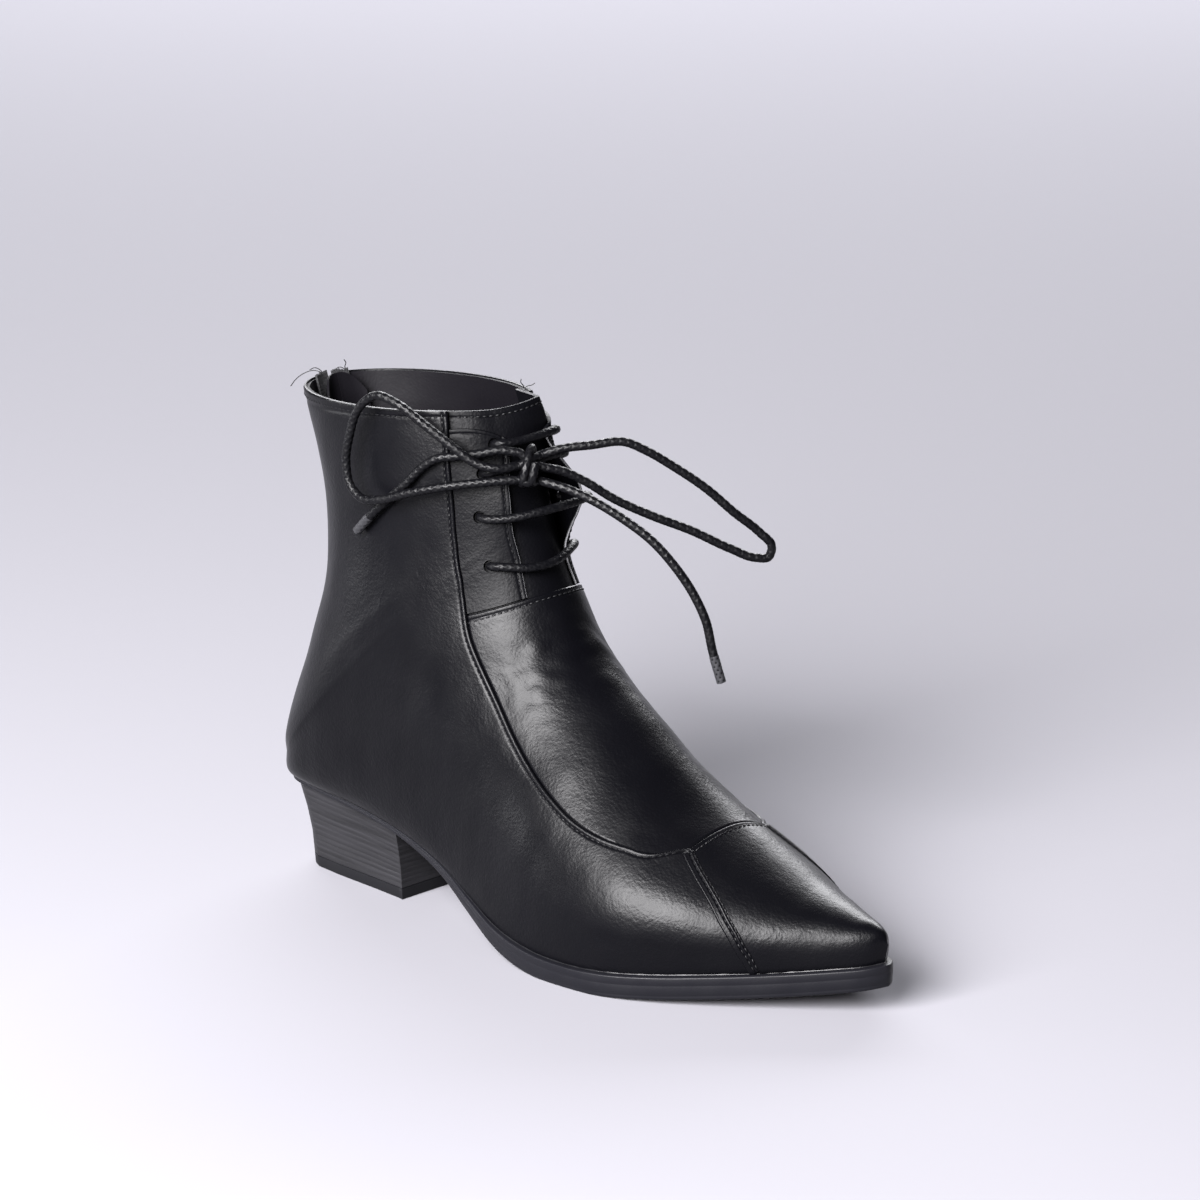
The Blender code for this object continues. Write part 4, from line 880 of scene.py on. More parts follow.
# Stitching
def sticks(name, starts, ends, ups, radius, sink=0.9, sides=6):
    """Many short rounded sticks in one piece, such as stitches or zip teeth."""
    share = np.array((0.0, 0.2, 0.5, 0.8, 1.0))
    girth = np.array((0.45, 0.92, 1.0, 0.92, 0.45)) * radius
    low = np.array((-1.0, -0.18, 0.1, -0.18, -1.0)) * radius * sink
    way = ends - starts
    way = unit(way)
    side = np.cross(way, ups)
    side = unit(side)
    up = np.cross(side, way)
    angle = np.arange(sides) * 2 * math.pi / sides
    centre = (starts[:, None] * (1 - share)[:, None] + ends[:, None] * share[:, None]
              + up[:, None] * low[:, None])
    rim = np.cos(angle)[:, None] * side[:, None, None] + np.sin(angle)[:, None] * up[:, None, None]
    points = (centre[:, :, None] + girth[:, None, None] * rim).reshape(-1, 3)
    faces = []
    for k in range(len(starts)):
        first = k * 5 * sides
        faces += grid_faces(5, sides, first, around=True, flip=True)
        faces.append(list(range(first, first + sides)))
        faces.append(list(range(first + 5 * sides - 1, first + 4 * sides - 1, -1)))
    piece = mesh_object(name, points, faces)
    close_doubles(piece)
    return piece


def make_stitches(name, runs, pitch=2.3 * MM, length=1.65 * MM, radius=0.30 * MM):
    starts = []
    ends = []
    ups = []
    for line, normals in runs:
        run = run_along(line)
        count = max(2, int(run[-1] / pitch))
        at = (np.arange(count) + 0.5) * run[-1] / count
        for where, kept in ((at - length / 2, starts), (at + length / 2, ends)):
            kept.append(np.stack([np.interp(where, run, line[:, k]) for k in range(3)], -1))
        ups.append(np.stack([np.interp(at, run, normals[:, k]) for k in range(3)], -1))
    return sticks(name, np.concatenate(starts), np.concatenate(ends), np.concatenate(ups), radius)


def line_on(u, v, height):
    """A line at a height over the form, and which way is out along it."""
    normal = outward(u, v)
    return skin(u, v) + normal * np.broadcast_to(height, u.shape)[..., None], normal


def stations_in(distance, station, share):
    """How many stations a distance takes on the form, back from there."""
    return distance / np.linalg.norm(skin(station, share) - skin(station - 0.1, share), axis=-1) * 0.1


def side_runs(side):
    """One side's lines of stitches: quarter edge, toe strip, collar, zip and facing."""
    u = np.linspace(APRON_FRONT + 0.12, COLLAR - 0.15, 500)
    v = quarter_edge(u) + STITCH_IN * share_per_metre(u, quarter_edge(u))
    runs = [line_on(u, side * v, -STITCH_SINK)]
    rows, share, _ = rib_line(side)
    for at in RIB_ROWS:
        u, v = beside(rows[4:-5], share[4:-5], at)
        runs.append(line_on(u, np.clip(v, -0.99, 0.99), 0.36 * MM))
    v = np.linspace(quarter_edge(COLLAR) + 0.012, 0.985, 240)
    runs.append(line_on(COLLAR - stations_in(COLLAR_STITCH, COLLAR, v), side * v, -STITCH_SINK))
    u = np.linspace(ZIP_FOOT + 0.2, COLLAR - 0.35, 300)
    v = 1 - zip_half(u) - ZIP_STITCH * share_per_metre(u, 0.97)
    runs.append(line_on(u, side * v, -STITCH_SINK))
    u, v = facing_grid(side)
    u = u[4:-2]
    v = v[4:-2]
    base = skin(u, v)
    reach = np.linalg.norm(base - base[:, :1], axis=-1)
    column = np.argmin(np.abs(reach - FACING_STITCH), axis=1)
    row = np.arange(len(column))
    u = u[row, column]
    v = v[row, column]
    runs.append(line_on(u, v, flare(u, v) + front_fold(u, v) - FACING_STEP - STITCH_SINK))
    return runs


def seam_runs():
    """Every line of stitches on the upper: where it runs and which way is out."""
    runs = side_runs(-1) + side_runs(1)
    v = np.linspace(-0.19, 0.17, 90)
    runs.append(line_on(APRON_FRONT - stations_in(TOE_STITCH, APRON_FRONT, v), v, -STITCH_SINK))
    v = np.linspace(-0.34, 0.34, 120)
    top = THROAT + facing_bend(np.full_like(v, THROAT), v)
    runs.append(line_on(top - stations_in(APRON_STITCH, top, v) - 0.02, v, -APRON_STEP - STITCH_SINK))
    v = np.linspace(-0.27, 0.27, 120)
    u = COLLAR - stations_in(TONGUE_STITCH, COLLAR, v)
    runs.append(line_on(u, v, front_fold(u, v) - (WALL + GAP) - STITCH_SINK))
    return runs


# The back zip
TAPE_REACH = 9.5 * MM
TAPE_THICKNESS = 0.75 * MM
TOOTH_REACH = 3.1 * MM
TOOTH_RADIUS = 0.52 * MM
GUARD_REACH = 14.5 * MM
GUARD_OFF = 4.6 * MM
GUARD_LEAN = 1.6 * MM
GUARD_THICKNESS = 1.3 * MM
THREAD_RADIUS = 0.17 * MM


def at_back(station, across, height):
    """A point by the back line: metres across it and out from the form."""
    share = 1 - np.abs(across) * share_per_metre(station, 0.99)
    share = np.where(across >= 0, share, -share)
    return skin(station, share) + outward(station, share) * np.asarray(height)[..., None]


def zip_mouth(station):
    """How far the tape's edge stands from the middle, opening above the slider."""
    return 0.15 * MM + 1.25 * MM * np.clip((station - SLIDER_STATION) / (COLLAR - SLIDER_STATION), 0, 1)


def make_tape(side, name):
    """Half of the zip's tape, its cut top frayed above the collar."""
    rng = np.random.default_rng(7 + side)
    rows = np.concatenate([np.linspace(ZIP_FOOT + 0.02, COLLAR - 0.2, 90),
                           np.linspace(COLLAR - 0.15, COLLAR, 4)])
    across = np.linspace(0, 1, 34)
    u = np.repeat(rows[:, None], len(across), axis=1)
    near = zip_mouth(rows)[:, None]
    w = side * (near + (TAPE_REACH - near) * across[None])
    low = -(WALL + GAP) - 0.1 * MM * np.sin(across * 70)[None] * np.ones_like(u)
    outer = at_back(u, w, low)
    inner = at_back(u, w, low - TAPE_THICKNESS)
    up = skin(COLLAR, side) - skin(COLLAR - 0.2, side)
    up /= np.linalg.norm(up)
    fray = np.abs(rng.normal(0.3, 0.55, len(across))) * MM
    rise = np.linspace(0, 1, 5)[-4:, None, None] * fray[None, :, None] * up
    outer[-4:] += rise
    inner[-4:] += rise
    if side < 0:
        outer = outer[:, ::-1]
        inner = inner[:, ::-1]
    return wall(name, outer, inner)


def make_teeth(name):
    """The coil's teeth, which mesh below the slider and part above it."""
    rows = np.interp(np.arange(0, 1, 1 / 74), (0, 1), (ZIP_CLOSE + 0.12, COLLAR - 0.22))
    starts = []
    ends = []
    ups = []
    for side in (-1, 1):
        u = rows + (0.048 if side > 0 else 0.0)
        near = zip_mouth(u) - 0.65 * MM * (u < SLIDER_STATION)
        starts.append(at_back(u, side * near, -(WALL + GAP) + 0.55 * MM))
        ends.append(at_back(u, side * (near + TOOTH_REACH), -(WALL + GAP) + 0.35 * MM))
        ups.append(outward(u, side * np.full_like(u, 0.99)))
    return sticks(name, np.concatenate(starts), np.concatenate(ends), np.concatenate(ups), TOOTH_RADIUS, 0.15)


def make_guard(name):
    """The flap inside the zip, its top rounded and standing off the tape."""
    across = np.linspace(-1, 1, 40)
    top = COLLAR - 0.04 - 0.5 * np.abs(across) ** 3
    t = np.linspace(0, 1, 60)[:, None]
    u = ZIP_CLOSE + 0.1 + (top[None] - ZIP_CLOSE - 0.1) * t
    w = np.repeat(across[None] * GUARD_REACH, 60, axis=0)
    off = (GUARD_OFF + GUARD_LEAN * np.clip((u - 26.5) / 2.3, 0, 1) ** 2
           + 0.4 * MM * cloth_noise(at_back(u, w, 0 * w), 0.02, 3))
    from_top = np.linalg.norm(skin(u, 0.97) - skin(top[None] + 0 * u, 0.97), axis=-1)
    outer = at_back(u, w, -off - drop_at_edge(from_top, 0.5 * MM))
    inner = at_back(u, w, -off - GUARD_THICKNESS)
    return wall(name, outer, inner)


def make_cut_edge(side, name):
    """The pale cut edge of a facing along the slit, between its two faces of leather."""
    u, v = facing_grid(side)
    u = u[:-6, 0]
    v = v[:-6, 0]
    inward = v - side * 0.10 * MM * share_per_metre(u, v)
    lift = flare(u, v) + front_fold(u, v)
    rings = []
    under = v + side * 0.004
    for share, height in ((inward, -FACING_STEP - 0.45 * MM), (inward, -FACING_STEP - 1.0 * MM),
                          (under, -FACING_STEP - 1.05 * MM), (under, -FACING_STEP - 0.5 * MM)):
        rings.append(skin(u, v) + (skin(u, share) - skin(u, v)) + outward(u, v) * (lift + height)[:, None])
    points = np.stack(rings, 1)
    fuzz = 0.06 * MM * cloth_noise(points, 0.0011, 77)
    points[:, :2] -= (skin(u, v + side * 0.01) - skin(u, v))[:, None] * 12 * fuzz[:, :2, None]
    count = len(u)
    faces = grid_faces(count, 4, around=True)
    faces.append([3, 2, 1, 0])
    faces.append([4 * count - 4, 4 * count - 3, 4 * count - 2, 4 * count - 1])
    piece = mesh_object(name, points.reshape(-1, 3), faces)
    close_doubles(piece)
    return piece


def thin_tube(path, radius, sides=6):
    """A plain tube's points and faces, its radius a number or one for each point."""
    way = np.gradient(path, axis=0)
    way = unit(way)
    side = np.cross(way, (0.31, 0.17, 0.93))
    side = unit(side)
    other = np.cross(way, side)
    angle = np.arange(sides) * 2 * math.pi / sides
    girth = np.broadcast_to(radius, len(path))[:, None, None]
    rim = np.cos(angle)[:, None] * side[:, None] + np.sin(angle)[:, None] * other[:, None]
    points = (path[:, None] + girth * rim).reshape(-1, 3)
    faces = grid_faces(len(path), sides, around=True)
    faces.append(list(range(sides - 1, -1, -1)))
    faces.append(list(range((len(path) - 1) * sides, len(path) * sides)))
    return points, faces


def tubes(name, paths, radius):
    points = []
    faces = []
    count = 0
    for path in paths:
        more, more_faces = thin_tube(path, radius)
        faces += [[k + count for k in face] for face in more_faces]
        points.append(more)
        count += len(more)
    piece = mesh_object(name, np.concatenate(points), faces)
    close_doubles(piece)
    return piece


def thread_paths():
    """Loose thread ends at the zip's top and at the far front of the collar."""
    left = -np.array((0.712, 0.702, 0.0))
    up = np.array((0.0, 0.0, 1.0))
    outer_top = at_back(np.array(COLLAR), np.array(-3.0 * MM), -(WALL + GAP))
    inner_top = at_back(np.array(COLLAR), np.array(8.5 * MM), -(WALL + GAP))
    front = skin(COLLAR, 0.34) - outward(COLLAR, 0.34) * 1.5 * MM
    shapes = (
        (outer_top, ((0, 0), (1.5, 1.0), (4, 1.4), (7, 0.4), (10, -1.8), (12, -4.4))),
        (outer_top, ((0, 0), (1.2, 1.6), (3.2, 2.4), (5.0, 1.6))),
        (inner_top, ((0, 0), (0.2, 1.5), (-0.2, 2.8), (0.5, 4.0))),
        (inner_top, ((0, 0), (1.0, 0.9), (2.2, 1.2), (3.4, 0.6))),
        (front, ((0, 0), (0.6, 1.2), (1.4, 2.2), (1.2, 3.4))),
        (front, ((0, 0), (-1.0, 0.9), (-2.3, 1.1), (-3.6, 1.9))),
    )
    return [smooth_route([start + (left * a + up * b) * MM for a, b in shape], 0.4 * MM)
            for start, shape in shapes]


def make_cement(name):
    """The thin uneven line of cement where the upper meets the sole."""
    rows = np.linspace(0.0, 15.0, 420)
    out = skin(rows, -1.0)
    inn = skin(rows, 1.0)
    path = np.concatenate([out[::-1], inn[1:]])
    way = np.gradient(path, axis=0)
    side = np.stack([way[:, 1], -way[:, 0], 0 * way[:, 0]], -1)
    side = unit(side)
    path = path + side * 0.10 * MM + np.array((0, 0, 0.12 * MM))
    radius = (0.26 + 0.10 * cloth_noise(path, 0.005, 91)) * MM
    points, faces = thin_tube(path, np.clip(radius, 0.08 * MM, 0.5 * MM))
    piece = mesh_object(name, points, faces)
    close_doubles(piece)
    return piece


# The sole and heel
def sole_edge(rows, inset):
    """The sole's outline as a ring round the boot, moved in by a distance."""
    out = skin(rows, -1.0)
    inn = skin(rows, 1.0)
    ring = np.concatenate([out[::-1], inn])
    ring = np.delete(ring, len(rows), axis=0)
    station = np.concatenate([rows[::-1], rows[1:]])
    along = np.roll(ring, -1, axis=0) - np.roll(ring, 1, axis=0)
    side = np.stack([along[:, 1], -along[:, 0]], -1)
    side = unit(side)
    ring = ring.copy()
    ring[:, :2] += side * (SOLE["ledge"](station) * LEDGE - inset)[:, None]
    return ring, station


def ring_piece(name, rings):
    """A closed piece from rings of points, one under the other."""
    count = len(rings[0])
    faces = []
    for level in range(len(rings) - 1):
        a = level * count + np.arange(count)
        b = level * count + (np.arange(count) + 1) % count
        faces += np.stack([a, a + count, b + count, b], -1).tolist()
    last = (len(rings) - 1) * count
    for k in range(count // 2 - 1 + count % 2):
        mate = count - 1 - k
        faces.append(list(dict.fromkeys([k, k + 1, mate - 1, mate])))
        faces.append(list(dict.fromkeys([last + mate, last + mate - 1, last + k + 1, last + k])))
    faces = [f for f in faces if len(f) > 2]
    return mesh_object(name, np.concatenate(rings), faces)


def make_outsole(name):
    """The outsole: a rounded ledge, an edge with fine moulded lines, and a flat tread."""
    rows = np.concatenate([np.linspace(0, 1.5, 22)[:-1], np.linspace(1.5, 16.5, 120)[:-1],
                           np.linspace(16.5, 19, 60)])
    profile = [(2.2, 0.0, 0.0), (0.55, 0.0, 0.0), (0.25, -0.08, 0.0), (0.07, -0.25, 0.0), (0.0, -0.5, 0.0),
               (0.02, 0.0, 0.34), (0.08, 0.0, 0.355), (0.03, 0.0, 0.38),
               (0.12, 0.0, 0.80), (0.20, 0.0, 0.815), (0.15, 0.0, 0.84),
               (0.32, 0.45, 1.0), (0.44, 0.2, 1.0), (0.68, 0.05, 1.0), (1.1, 0.0, 1.0), (3.4, 0.0, 1.0)]
    rings = []
    for inset, raised, share in profile:
        ring, station = sole_edge(rows, inset * MM)
        top = sole_height(station) - 0.02 * MM
        low = np.maximum(sole_height(station) - GAP - SOLE["edge"](station) * EDGE, 0)
        room = np.clip((top - low) / (4 * MM), 0.25, 1)
        ring[:, 2] = top + (low - top) * share + raised * MM * room
        rings.append(ring)
    return ring_piece(name, rings)


def heel_ring(rows, rise):
    """The heel's outline at a share of its height, from its breast round the back."""
    out = skin(rows, -1.0)
    inn = skin(rows, 1.0)
    ring = np.concatenate([out, inn[-2::-1]])
    station = np.concatenate([rows, rows[-2::-1]])
    along = np.empty_like(ring)
    along[1:-1] = ring[2:] - ring[:-2]
    along[0] = ring[1] - ring[0]
    along[-1] = ring[-1] - ring[-2]
    side = np.stack([along[:, 1], -along[:, 0]], -1)
    side = -unit(side)
    out_by = SOLE["ledge"](station) * LEDGE - HEEL_TUCK - SOLE_DRAFT
    ring[:, :2] += side * out_by[:, None]
    breast_x = skin(BREAST, -1.0)[0]
    back = np.clip((breast_x - ring[:, 0]) / (breast_x - ring[:, 0].min()), 0, 1)
    narrow = HEEL_WAIST * (1 - back) + HEEL_DRAFT * (1 - rise)
    y = ring[:, 1] - STAND[1]
    ring[:, 1] -= narrow * np.clip(y / HEEL_ROUND, -1, 1)
    ring[:, 0] += HEEL_RAKE * (1 - rise) * back
    ring[0, 0] = breast_x
    ring[-1, 0] = breast_x
    for _ in range(60):
        even = (ring[:-2] + ring[2:]) / 2
        ring[1:-1] += (even - ring[1:-1]) * (0.5 * (back[1:-1] > 0.8))[:, None]
    ring[:, 2] = np.maximum(sole_height(station) - GAP - SOLE["edge"](station) * EDGE, 0) - 0.02 * MM
    return ring[::-1]


def inset_ring(ring, distance):
    along = np.roll(ring, -1, axis=0) - np.roll(ring, 1, axis=0)
    side = np.stack([along[:, 1], -along[:, 0]], -1)
    side = unit(side)
    out = ring.copy()
    out[:, :2] -= side * distance
    return out


def make_heel(name, lift_name):
    """The stacked heel block, its layers parted by fine grooves, and the lift under it."""
    rows = np.concatenate([np.linspace(BREAST, 16.5, 40)[:-1], np.linspace(16.5, 19, 46)])
    foot = TOP_LIFT + 0.1 * MM
    shares = np.array((1.0, 0.62, 0.30, 0.0))
    rises = np.array((1.0, 0.48, 0.17, 0.05))
    rings = []
    for k in range(HEEL_LAYERS):
        top = 1 - k / HEEL_LAYERS
        low = 1 - (k + 1) / HEEL_LAYERS
        for share, dent in ((top - 0.004, 0.10), (top - 0.014, 0.0),
                            (low + 0.014, 0.0), (low + 0.004, 0.10)):
            share = float(np.clip(share, 0, 1))
            ring = heel_ring(rows, float(np.interp(share, shares[::-1], rises[::-1])))
            ring[:, 2] = foot + (ring[:, 2] - foot) * share
            rings.append(inset_ring(ring, dent * MM))
    block = ring_piece(name, rings)
    lift_rings = []
    for height, dent in ((TOP_LIFT, 0.35), (TOP_LIFT - 0.25 * MM, 0.0), (0.35 * MM, 0.0),
                         (0.1 * MM, 0.15), (0.0, 0.5)):
        ring = heel_ring(rows, 0.05 * height / TOP_LIFT)
        ring[:, 2] = height
        lift_rings.append(inset_ring(ring, dent * MM))
    return block, ring_piece(lift_name, lift_rings)


# The lace
PLAIT_PITCH = 2.7 * MM
AGLET_LENGTH = 11 * MM
AGLET_WALL = 0.12 * MM
HOLE_DEPTH = 2.2 * MM


def smooth_route(points, spacing):
    """Evenly spaced points on a smooth curve through a route's points."""
    points = np.asarray(points, float)
    chord = run_along(points)
    axes = [curve_through(chord, points[:, k]) for k in range(3)]
    fine = np.stack([axis(np.linspace(0, chord[-1], 1200)) for axis in axes], -1)
    run = run_along(fine)
    at = np.linspace(0, run[-1], max(2, int(round(run[-1] / spacing)) + 1))
    return np.stack([np.interp(at, run, fine[:, k]) for k in range(3)], -1)


def braided(name, path, radius, sides=24, cap=0.6):
    """A round braided cord along a path, its plait raised on the surface."""
    way = np.gradient(path, axis=0)
    way = unit(way)
    side = np.cross(way[0], (0.3, 0.2, 1.0))
    side /= np.linalg.norm(side)
    run = run_along(path)
    angle = np.arange(sides) * 2 * math.pi / sides
    rings = []
    for k, (place, forward) in enumerate(zip(path, way)):
        side = side - forward * side.dot(forward)
        side /= np.linalg.norm(side)
        other = np.cross(forward, side)
        turn = run[k] * 2 * math.pi / PLAIT_PITCH
        plait = np.maximum(np.sin(5 * angle + turn), np.sin(5 * angle - turn))
        end = min(run[k], run[-1] - run[k]) / (radius * cap)
        taper = math.sqrt(max(0.0, 1 - (1 - min(end, 1.0)) ** 2)) * 0.75 + 0.25
        size = radius * (0.98 + 0.09 * plait) * taper
        rim = np.cos(angle)[:, None] * side + np.sin(angle)[:, None] * other
        rings.append(place + size[:, None] * rim)
    count = len(path)
    faces = grid_faces(count, sides, around=True)
    faces.append(list(range(sides - 1, -1, -1)))
    faces.append(list(range((count - 1) * sides, count * sides)))
    return mesh_object(name, np.concatenate(rings), faces)


def crossing_route(station, share, sag):
    """From inside one facing's hole, over the tongue, and into the other's."""
    around = np.linspace(-share, share, 41)
    q = around / share
    at = station - sag * (1 - q * q) * (1 - 0.4 * q)
    slit = slit_share(at)
    low = flare(at, -slit)
    high = flare(at, slit)
    over_slit = low + (high - low) * (around + slit) / (2 * slit)
    over = np.where(np.abs(around) < slit, over_slit, flare(at, around))
    over = over + front_fold(at, around)
    lift = (LACE / 2 + LACE_REST) * np.ones(41)
    away = np.linalg.norm(skin(at, around) - skin(at, around)[:1], axis=-1)
    away = np.minimum(away, away[::-1])
    lift -= 3.0 * MM * np.clip(1 - away / (2.6 * MM), 0, 1) ** 1.6
    height = over - FACING_STEP + lift
    points = skin(at, around) + outward(at, around) * height[..., None]
    start = over_facing(station, -share, -HOLE_DEPTH)
    end = over_facing(station, share, -HOLE_DEPTH)
    return np.concatenate([[start], points, [end]])


def even_route(points, spacing):
    run = run_along(points)
    at = np.linspace(0, run[-1], max(3, int(run[-1] / spacing)))
    return np.stack([np.interp(at, run, points[:, k]) for k in range(3)], -1)


def relax(points, times):
    """Rounds off a line of points, its two ends kept."""
    points = points.copy()
    for _ in range(times):
        points[1:-1] = (points[:-2] + 2 * points[1:-1] + points[2:]) / 4
    return points


# The camera
def add_camera():
    a = math.radians(CAMERA_AZIMUTH)
    e = math.radians(CAMERA_ELEVATION)
    r = math.radians(CAMERA_ROLL)
    back = Vector((math.sin(a) * math.cos(e), -math.cos(a) * math.cos(e), math.sin(e)))
    level = Vector((math.cos(a), math.sin(a), 0))
    upright = back.cross(level)
    right = level * math.cos(r) + upright * math.sin(r)
    up = upright * math.cos(r) - level * math.sin(r)
    camera = bpy.data.objects.new("camera", bpy.data.cameras.new("camera"))
    camera.data.lens = CAMERA_LENS
    camera.data.sensor_width = 36
    camera.data.clip_end = 20
    turn = Matrix((right, up, back)).transposed().to_4x4()
    place = Vector(CAMERA_TARGET) + Vector(STAND) + back * CAMERA_DISTANCE
    camera.matrix_world = Matrix.Translation(place) @ turn
    bpy.context.scene.collection.objects.link(camera)
    bpy.context.scene.camera = camera


add_camera()

# The free lace and its crossings
lace_black = waxed_look("lace_black", (0.0015, 0.0015, 0.0020), 0.34)
aglet_look = waxed_look("aglet_sleeve", (0.018, 0.018, 0.020), 0.35)

STEP = 0.36 * MM
PLAIT = 24
routes = {name: smooth_route(np.array(route) * MM, STEP) + STAND for name, route in CORD_ROUTES.items()}
for name in ("lace_loop_outer", "lace_loop_inner", "lace_end_outer", "lace_end_inner"):
    path = routes[name]
    cord = braided(name + "_cord", path, LACE / 2, PLAIT)
    finish(cord, lace_black, "lace_cord", name)
    if "end" in name:
        tip = path[-int(AGLET_LENGTH / STEP):]
        sleeve = braided(name + "_aglet", tip + (tip[-1] - tip[-2]) * 0.5, LACE / 2 + AGLET_WALL, PLAIT, 0.3)
        finish(sleeve, aglet_look, "lace_cord")

for number, (station, share, sag) in enumerate(LACE_ROWS, start=1):
    way = relax(even_route(crossing_route(station, share, sag), STEP), 12)
    crossing = braided(f"lace_crossing_{number}", way, LACE / 2, PLAIT)
    finish(crossing, lace_black, "lace_cord", f"lace_bar_{number}")

# The knot: the bow's strands go on through it, and the lace is wrapped once round them
KNOT_TALL = 6.3 * MM
KNOT_DEEP = 3.9 * MM
knot = routes["lace_knot"]
middle = knot.mean(axis=0)


def through(first, last, bulge):
    """A strand from one free part's start to another's, passing through the knot."""
    start = np.array(CORD_ROUTES[first[0]][first[1]]) * MM + STAND
    before = np.array(CORD_ROUTES[first[0]][first[2]]) * MM + STAND
    end = np.array(CORD_ROUTES[last[0]][last[1]]) * MM + STAND
    after = np.array(CORD_ROUTES[last[0]][last[2]]) * MM + STAND
    lead = (start - before) / np.linalg.norm(start - before) * 1.2 * MM
    tail = (end - after) / np.linalg.norm(end - after) * 1.2 * MM
    centre = (start + end) / 2 + np.array(bulge) * MM
    return smooth_route([start - lead, start, centre, end, end - tail], STEP)


knot_parts = [
    through(("lace_loop_outer", 0, 1), ("lace_loop_inner", 0, 1), (0.9, -1.2, 0.6)),
    through(("lace_loop_outer", -1, -2), ("lace_end_inner", 0, 1), (0.6, -1.6, -0.5)),
    through(("lace_end_outer", 0, 1), ("lace_loop_inner", -1, -2), (-0.4, -0.4, -0.8)),
]
axis = knot[-1] - knot[0]
axis /= np.linalg.norm(axis)
out_way = np.array([0.62, -0.72, 0.2])
out_way -= axis * out_way.dot(axis)
out_way /= np.linalg.norm(out_way)
cross_way = np.cross(axis, out_way)
turns = np.linspace(-0.35, 2 * math.pi * 1.42, 150)
knot_parts.append(even_route(
    middle + KNOT_TALL * np.sin(turns + 0.25)[:, None] * axis + KNOT_DEEP * np.cos(turns)[:, None] * out_way
    + (np.linspace(-2.1, 2.3, 150) + 0.8 * np.sin(turns))[:, None] * MM * cross_way, STEP))
knot_pieces = [braided(f"knot_strand_{k}", part, LACE / 2 * 0.98, PLAIT)
               for k, part in enumerate(knot_parts)]
select_only(*knot_pieces)
bpy.ops.object.join()
tied_knot = knot_pieces[-1]
tied_knot.name = "lace_knot_tied"
finish(tied_knot, lace_black, "lace_cord", "lace_knot")

# The upper
SIDES = ((-1, "outer"), (1, "inner"))
leather = leather_look("black_leather", (0.0009, 0.0009, 0.0014), 0.33)
facing_leather = leather_look("facing_leather", (0.0011, 0.0011, 0.0016), 0.40, grain=0.06, gloss=0.07)
lining_look = leather_look("lining_leather", (0.0030, 0.0027, 0.0036), 0.50,
                           grain=0.03, crinkle=0.05, gloss=0.05)
thread = waxed_look("stitch_thread", (0.0035, 0.0035, 0.0042), 0.45)


def dress_upper(piece, look):
    finish(piece, look, "black_leather", "upper")


def zip_edge(station):
    return 1 - zip_half(station)


for side, word in SIDES:
    dress_upper(make_quarter(side, f"quarter_{word}"), leather)
dress_upper(make_apron("apron"), leather)
dress_upper(make_toe("toe_piece"), leather)
for side, word in SIDES:
    dress_upper(make_toe_rib(side, f"toe_rib_{word}"), leather)
for side, word in SIDES:
    facing = make_facing(side, f"facing_{word}")
    punch(facing, side)
    dress_upper(facing, facing_leather)
finish(make_tongue("tongue_panel"), facing_leather, "tongue_leather", "tongue")
lining_break = THROAT - 0.25
dress_upper(make_lining("lining_foot", 1.6, lining_break, lambda u: -np.ones_like(u),
                        np.ones_like), lining_look)
dress_upper(make_lining("lining_outer", lining_break, COLLAR - 0.05, lambda u: -zip_edge(u),
                        lambda u: -quarter_edge(u)), lining_look)
dress_upper(make_lining("lining_inner", lining_break, COLLAR - 0.05, quarter_edge, zip_edge), lining_look)
dress_upper(make_stitches("stitches", seam_runs()), thread)
cut_leather = cloth_look("cut_leather_edge", (0.09, 0.09, 0.095), 0.4, 0.9)
for side, word in SIDES:
    dress_upper(make_cut_edge(side, f"cut_edge_{word}"), cut_leather)

# The sole and heel
sole_look = rubber_look("sole_edge", (0.0045, 0.0045, 0.0060), 0.42)
heel_look = stack_look("heel_stack", (0.0060, 0.0058, 0.0070))
lift_look = rubber_look("heel_lift", (0.004, 0.004, 0.005), 0.6)
finish(make_outsole("outsole_edge"), sole_look, "sole_rubber", "outsole", angle=50)
block, lift = make_heel("heel_stack_block", "heel_lift_piece")
finish(block, heel_look, "heel_stack", "heel_block", angle=50)
finish(lift, lift_look, "lift_rubber", "top_lift", angle=50)

cement = waxed_look("cement_line", (0.008, 0.008, 0.009), 0.16)
finish(make_cement("cement_line"), cement, "sole_rubber")

# The zip
zip_cloth = cloth_look("zip_cloth", (0.010, 0.010, 0.011), 0.6)
tooth_look = waxed_look("zip_teeth", (0.008, 0.008, 0.009), 0.3)
for side, word in SIDES:
    finish(make_tape(side, f"zip_tape_{word}"), zip_cloth, "zip_cloth", "zip_tape")
finish(make_teeth("zip_teeth"), tooth_look, "zip_cloth", "zip_tape")
finish(make_guard("zip_guard_flap"), lining_look, "guard_leather", "zip_guard")
finish(tubes("loose_threads", thread_paths(), THREAD_RADIUS), thread, "zip_cloth")

# The board and the slider keep the frame's shapes
board_cloth = cloth_look("insole_cloth", (0.02, 0.02, 0.02), 0.8)
zip_metal = metal_look("zip_metal", (0.09, 0.09, 0.095), 0.32)
for node, look in (("insole", board_cloth), ("zip_slider", zip_metal), ("zip_pull", zip_metal)):
    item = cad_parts[node]
    for slot in item.material_slots:
        slot.material = look


# The floor and the light
FLOOR_COLOUR = (0.188, 0.186, 0.202)
FLOOR_FRONT = -3.0
FLOOR_BACK = 2.2
SWEEP = 1.2
FLOOR_HALF = 5.0


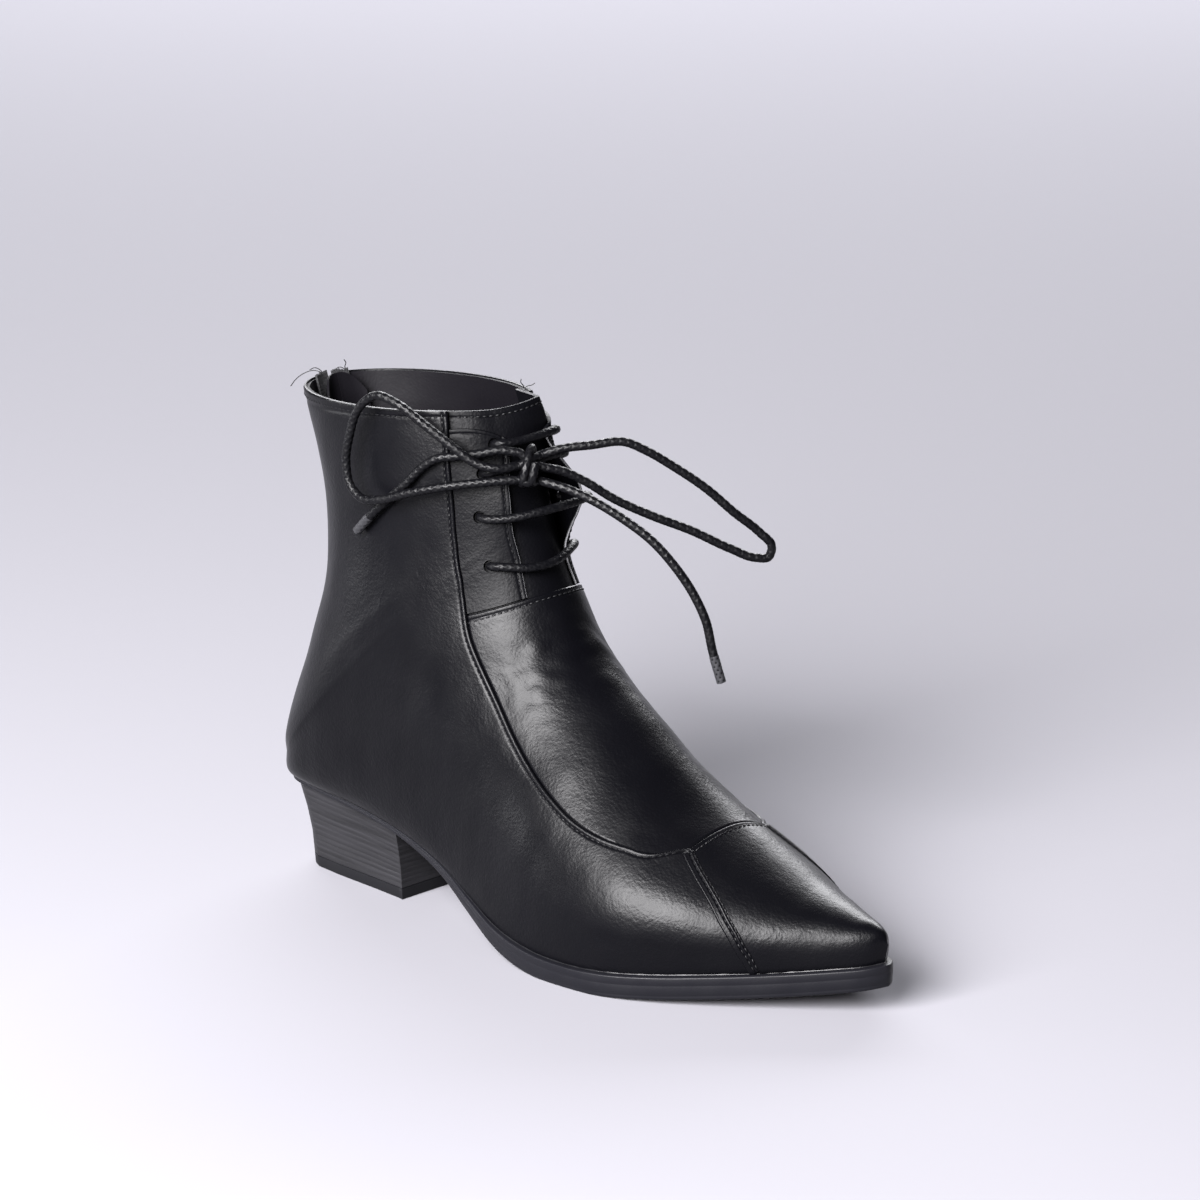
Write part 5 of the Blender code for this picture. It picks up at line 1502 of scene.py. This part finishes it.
def add_stage():
    """A pale floor that sweeps up to a wall behind the boot."""
    pale = new_look("pale_floor", FLOOR_COLOUR, 0.85, Specular_IOR_Level=0.05)[0]
    profile = [(FLOOR_FRONT, 0.0), (FLOOR_BACK, 0.0)]
    profile += [(FLOOR_BACK + SWEEP * math.sin(t), SWEEP - SWEEP * math.cos(t))
                for t in np.linspace(0.1, math.pi / 2, 16)]
    profile.append((FLOOR_BACK + SWEEP, 4.5))
    a = math.radians(CAMERA_AZIMUTH)
    away = np.array((-math.sin(a), math.cos(a), 0))
    level = np.array((math.cos(a), math.sin(a), 0))
    points = [away * d + level * w + np.array((0, 0, z)) for d, z in profile
              for w in (-FLOOR_HALF, FLOOR_HALF)]
    floor = mesh_object("studio_floor", points, grid_faces(len(profile), 2))
    floor.data.materials.append(pale)
    for polygon in floor.data.polygons:
        polygon.use_smooth = True


def add_light(name, azimuth, elevation, distance, size, watts, colour, target=(0.0, 0.0, 0.08)):
    """A softbox, its azimuth turned from the camera's."""
    a = math.radians(CAMERA_AZIMUTH + azimuth)
    e = math.radians(elevation)
    way = Vector((math.sin(a) * math.cos(e), -math.cos(a) * math.cos(e), math.sin(e)))
    light = bpy.data.lights.new(name, "AREA")
    light.shape = "RECTANGLE"
    light.size = size[0]
    light.size_y = size[1]
    light.energy = watts
    light.color = colour
    lamp = bpy.data.objects.new(name, light)
    lamp.matrix_world = (Matrix.Translation(Vector(target) + way * distance)
                         @ way.to_track_quat("Z", "Y").to_matrix().to_4x4())
    bpy.context.scene.collection.objects.link(lamp)


add_stage()
add_light("key_softbox", -33, 30, 1.8, (1.3, 1.0), 245, (1.0, 0.985, 1.0))
add_light("far_softbox", 178, 48, 2.1, (3.4, 1.4), 235, (0.97, 0.97, 1.0), (-1.1, 1.12, 0.0))
add_light("left_softbox", -104, 6, 1.9, (0.7, 0.4), 12, (0.97, 0.97, 1.0))
world = bpy.data.worlds.new("studio")
world.use_nodes = True
world.node_tree.nodes["Background"].inputs["Color"].default_value = (0.82, 0.82, 0.93, 1)
world.node_tree.nodes["Background"].inputs["Strength"].default_value = 0.14
bpy.context.scene.world = world
bpy.context.scene.view_settings.view_transform = "Standard"
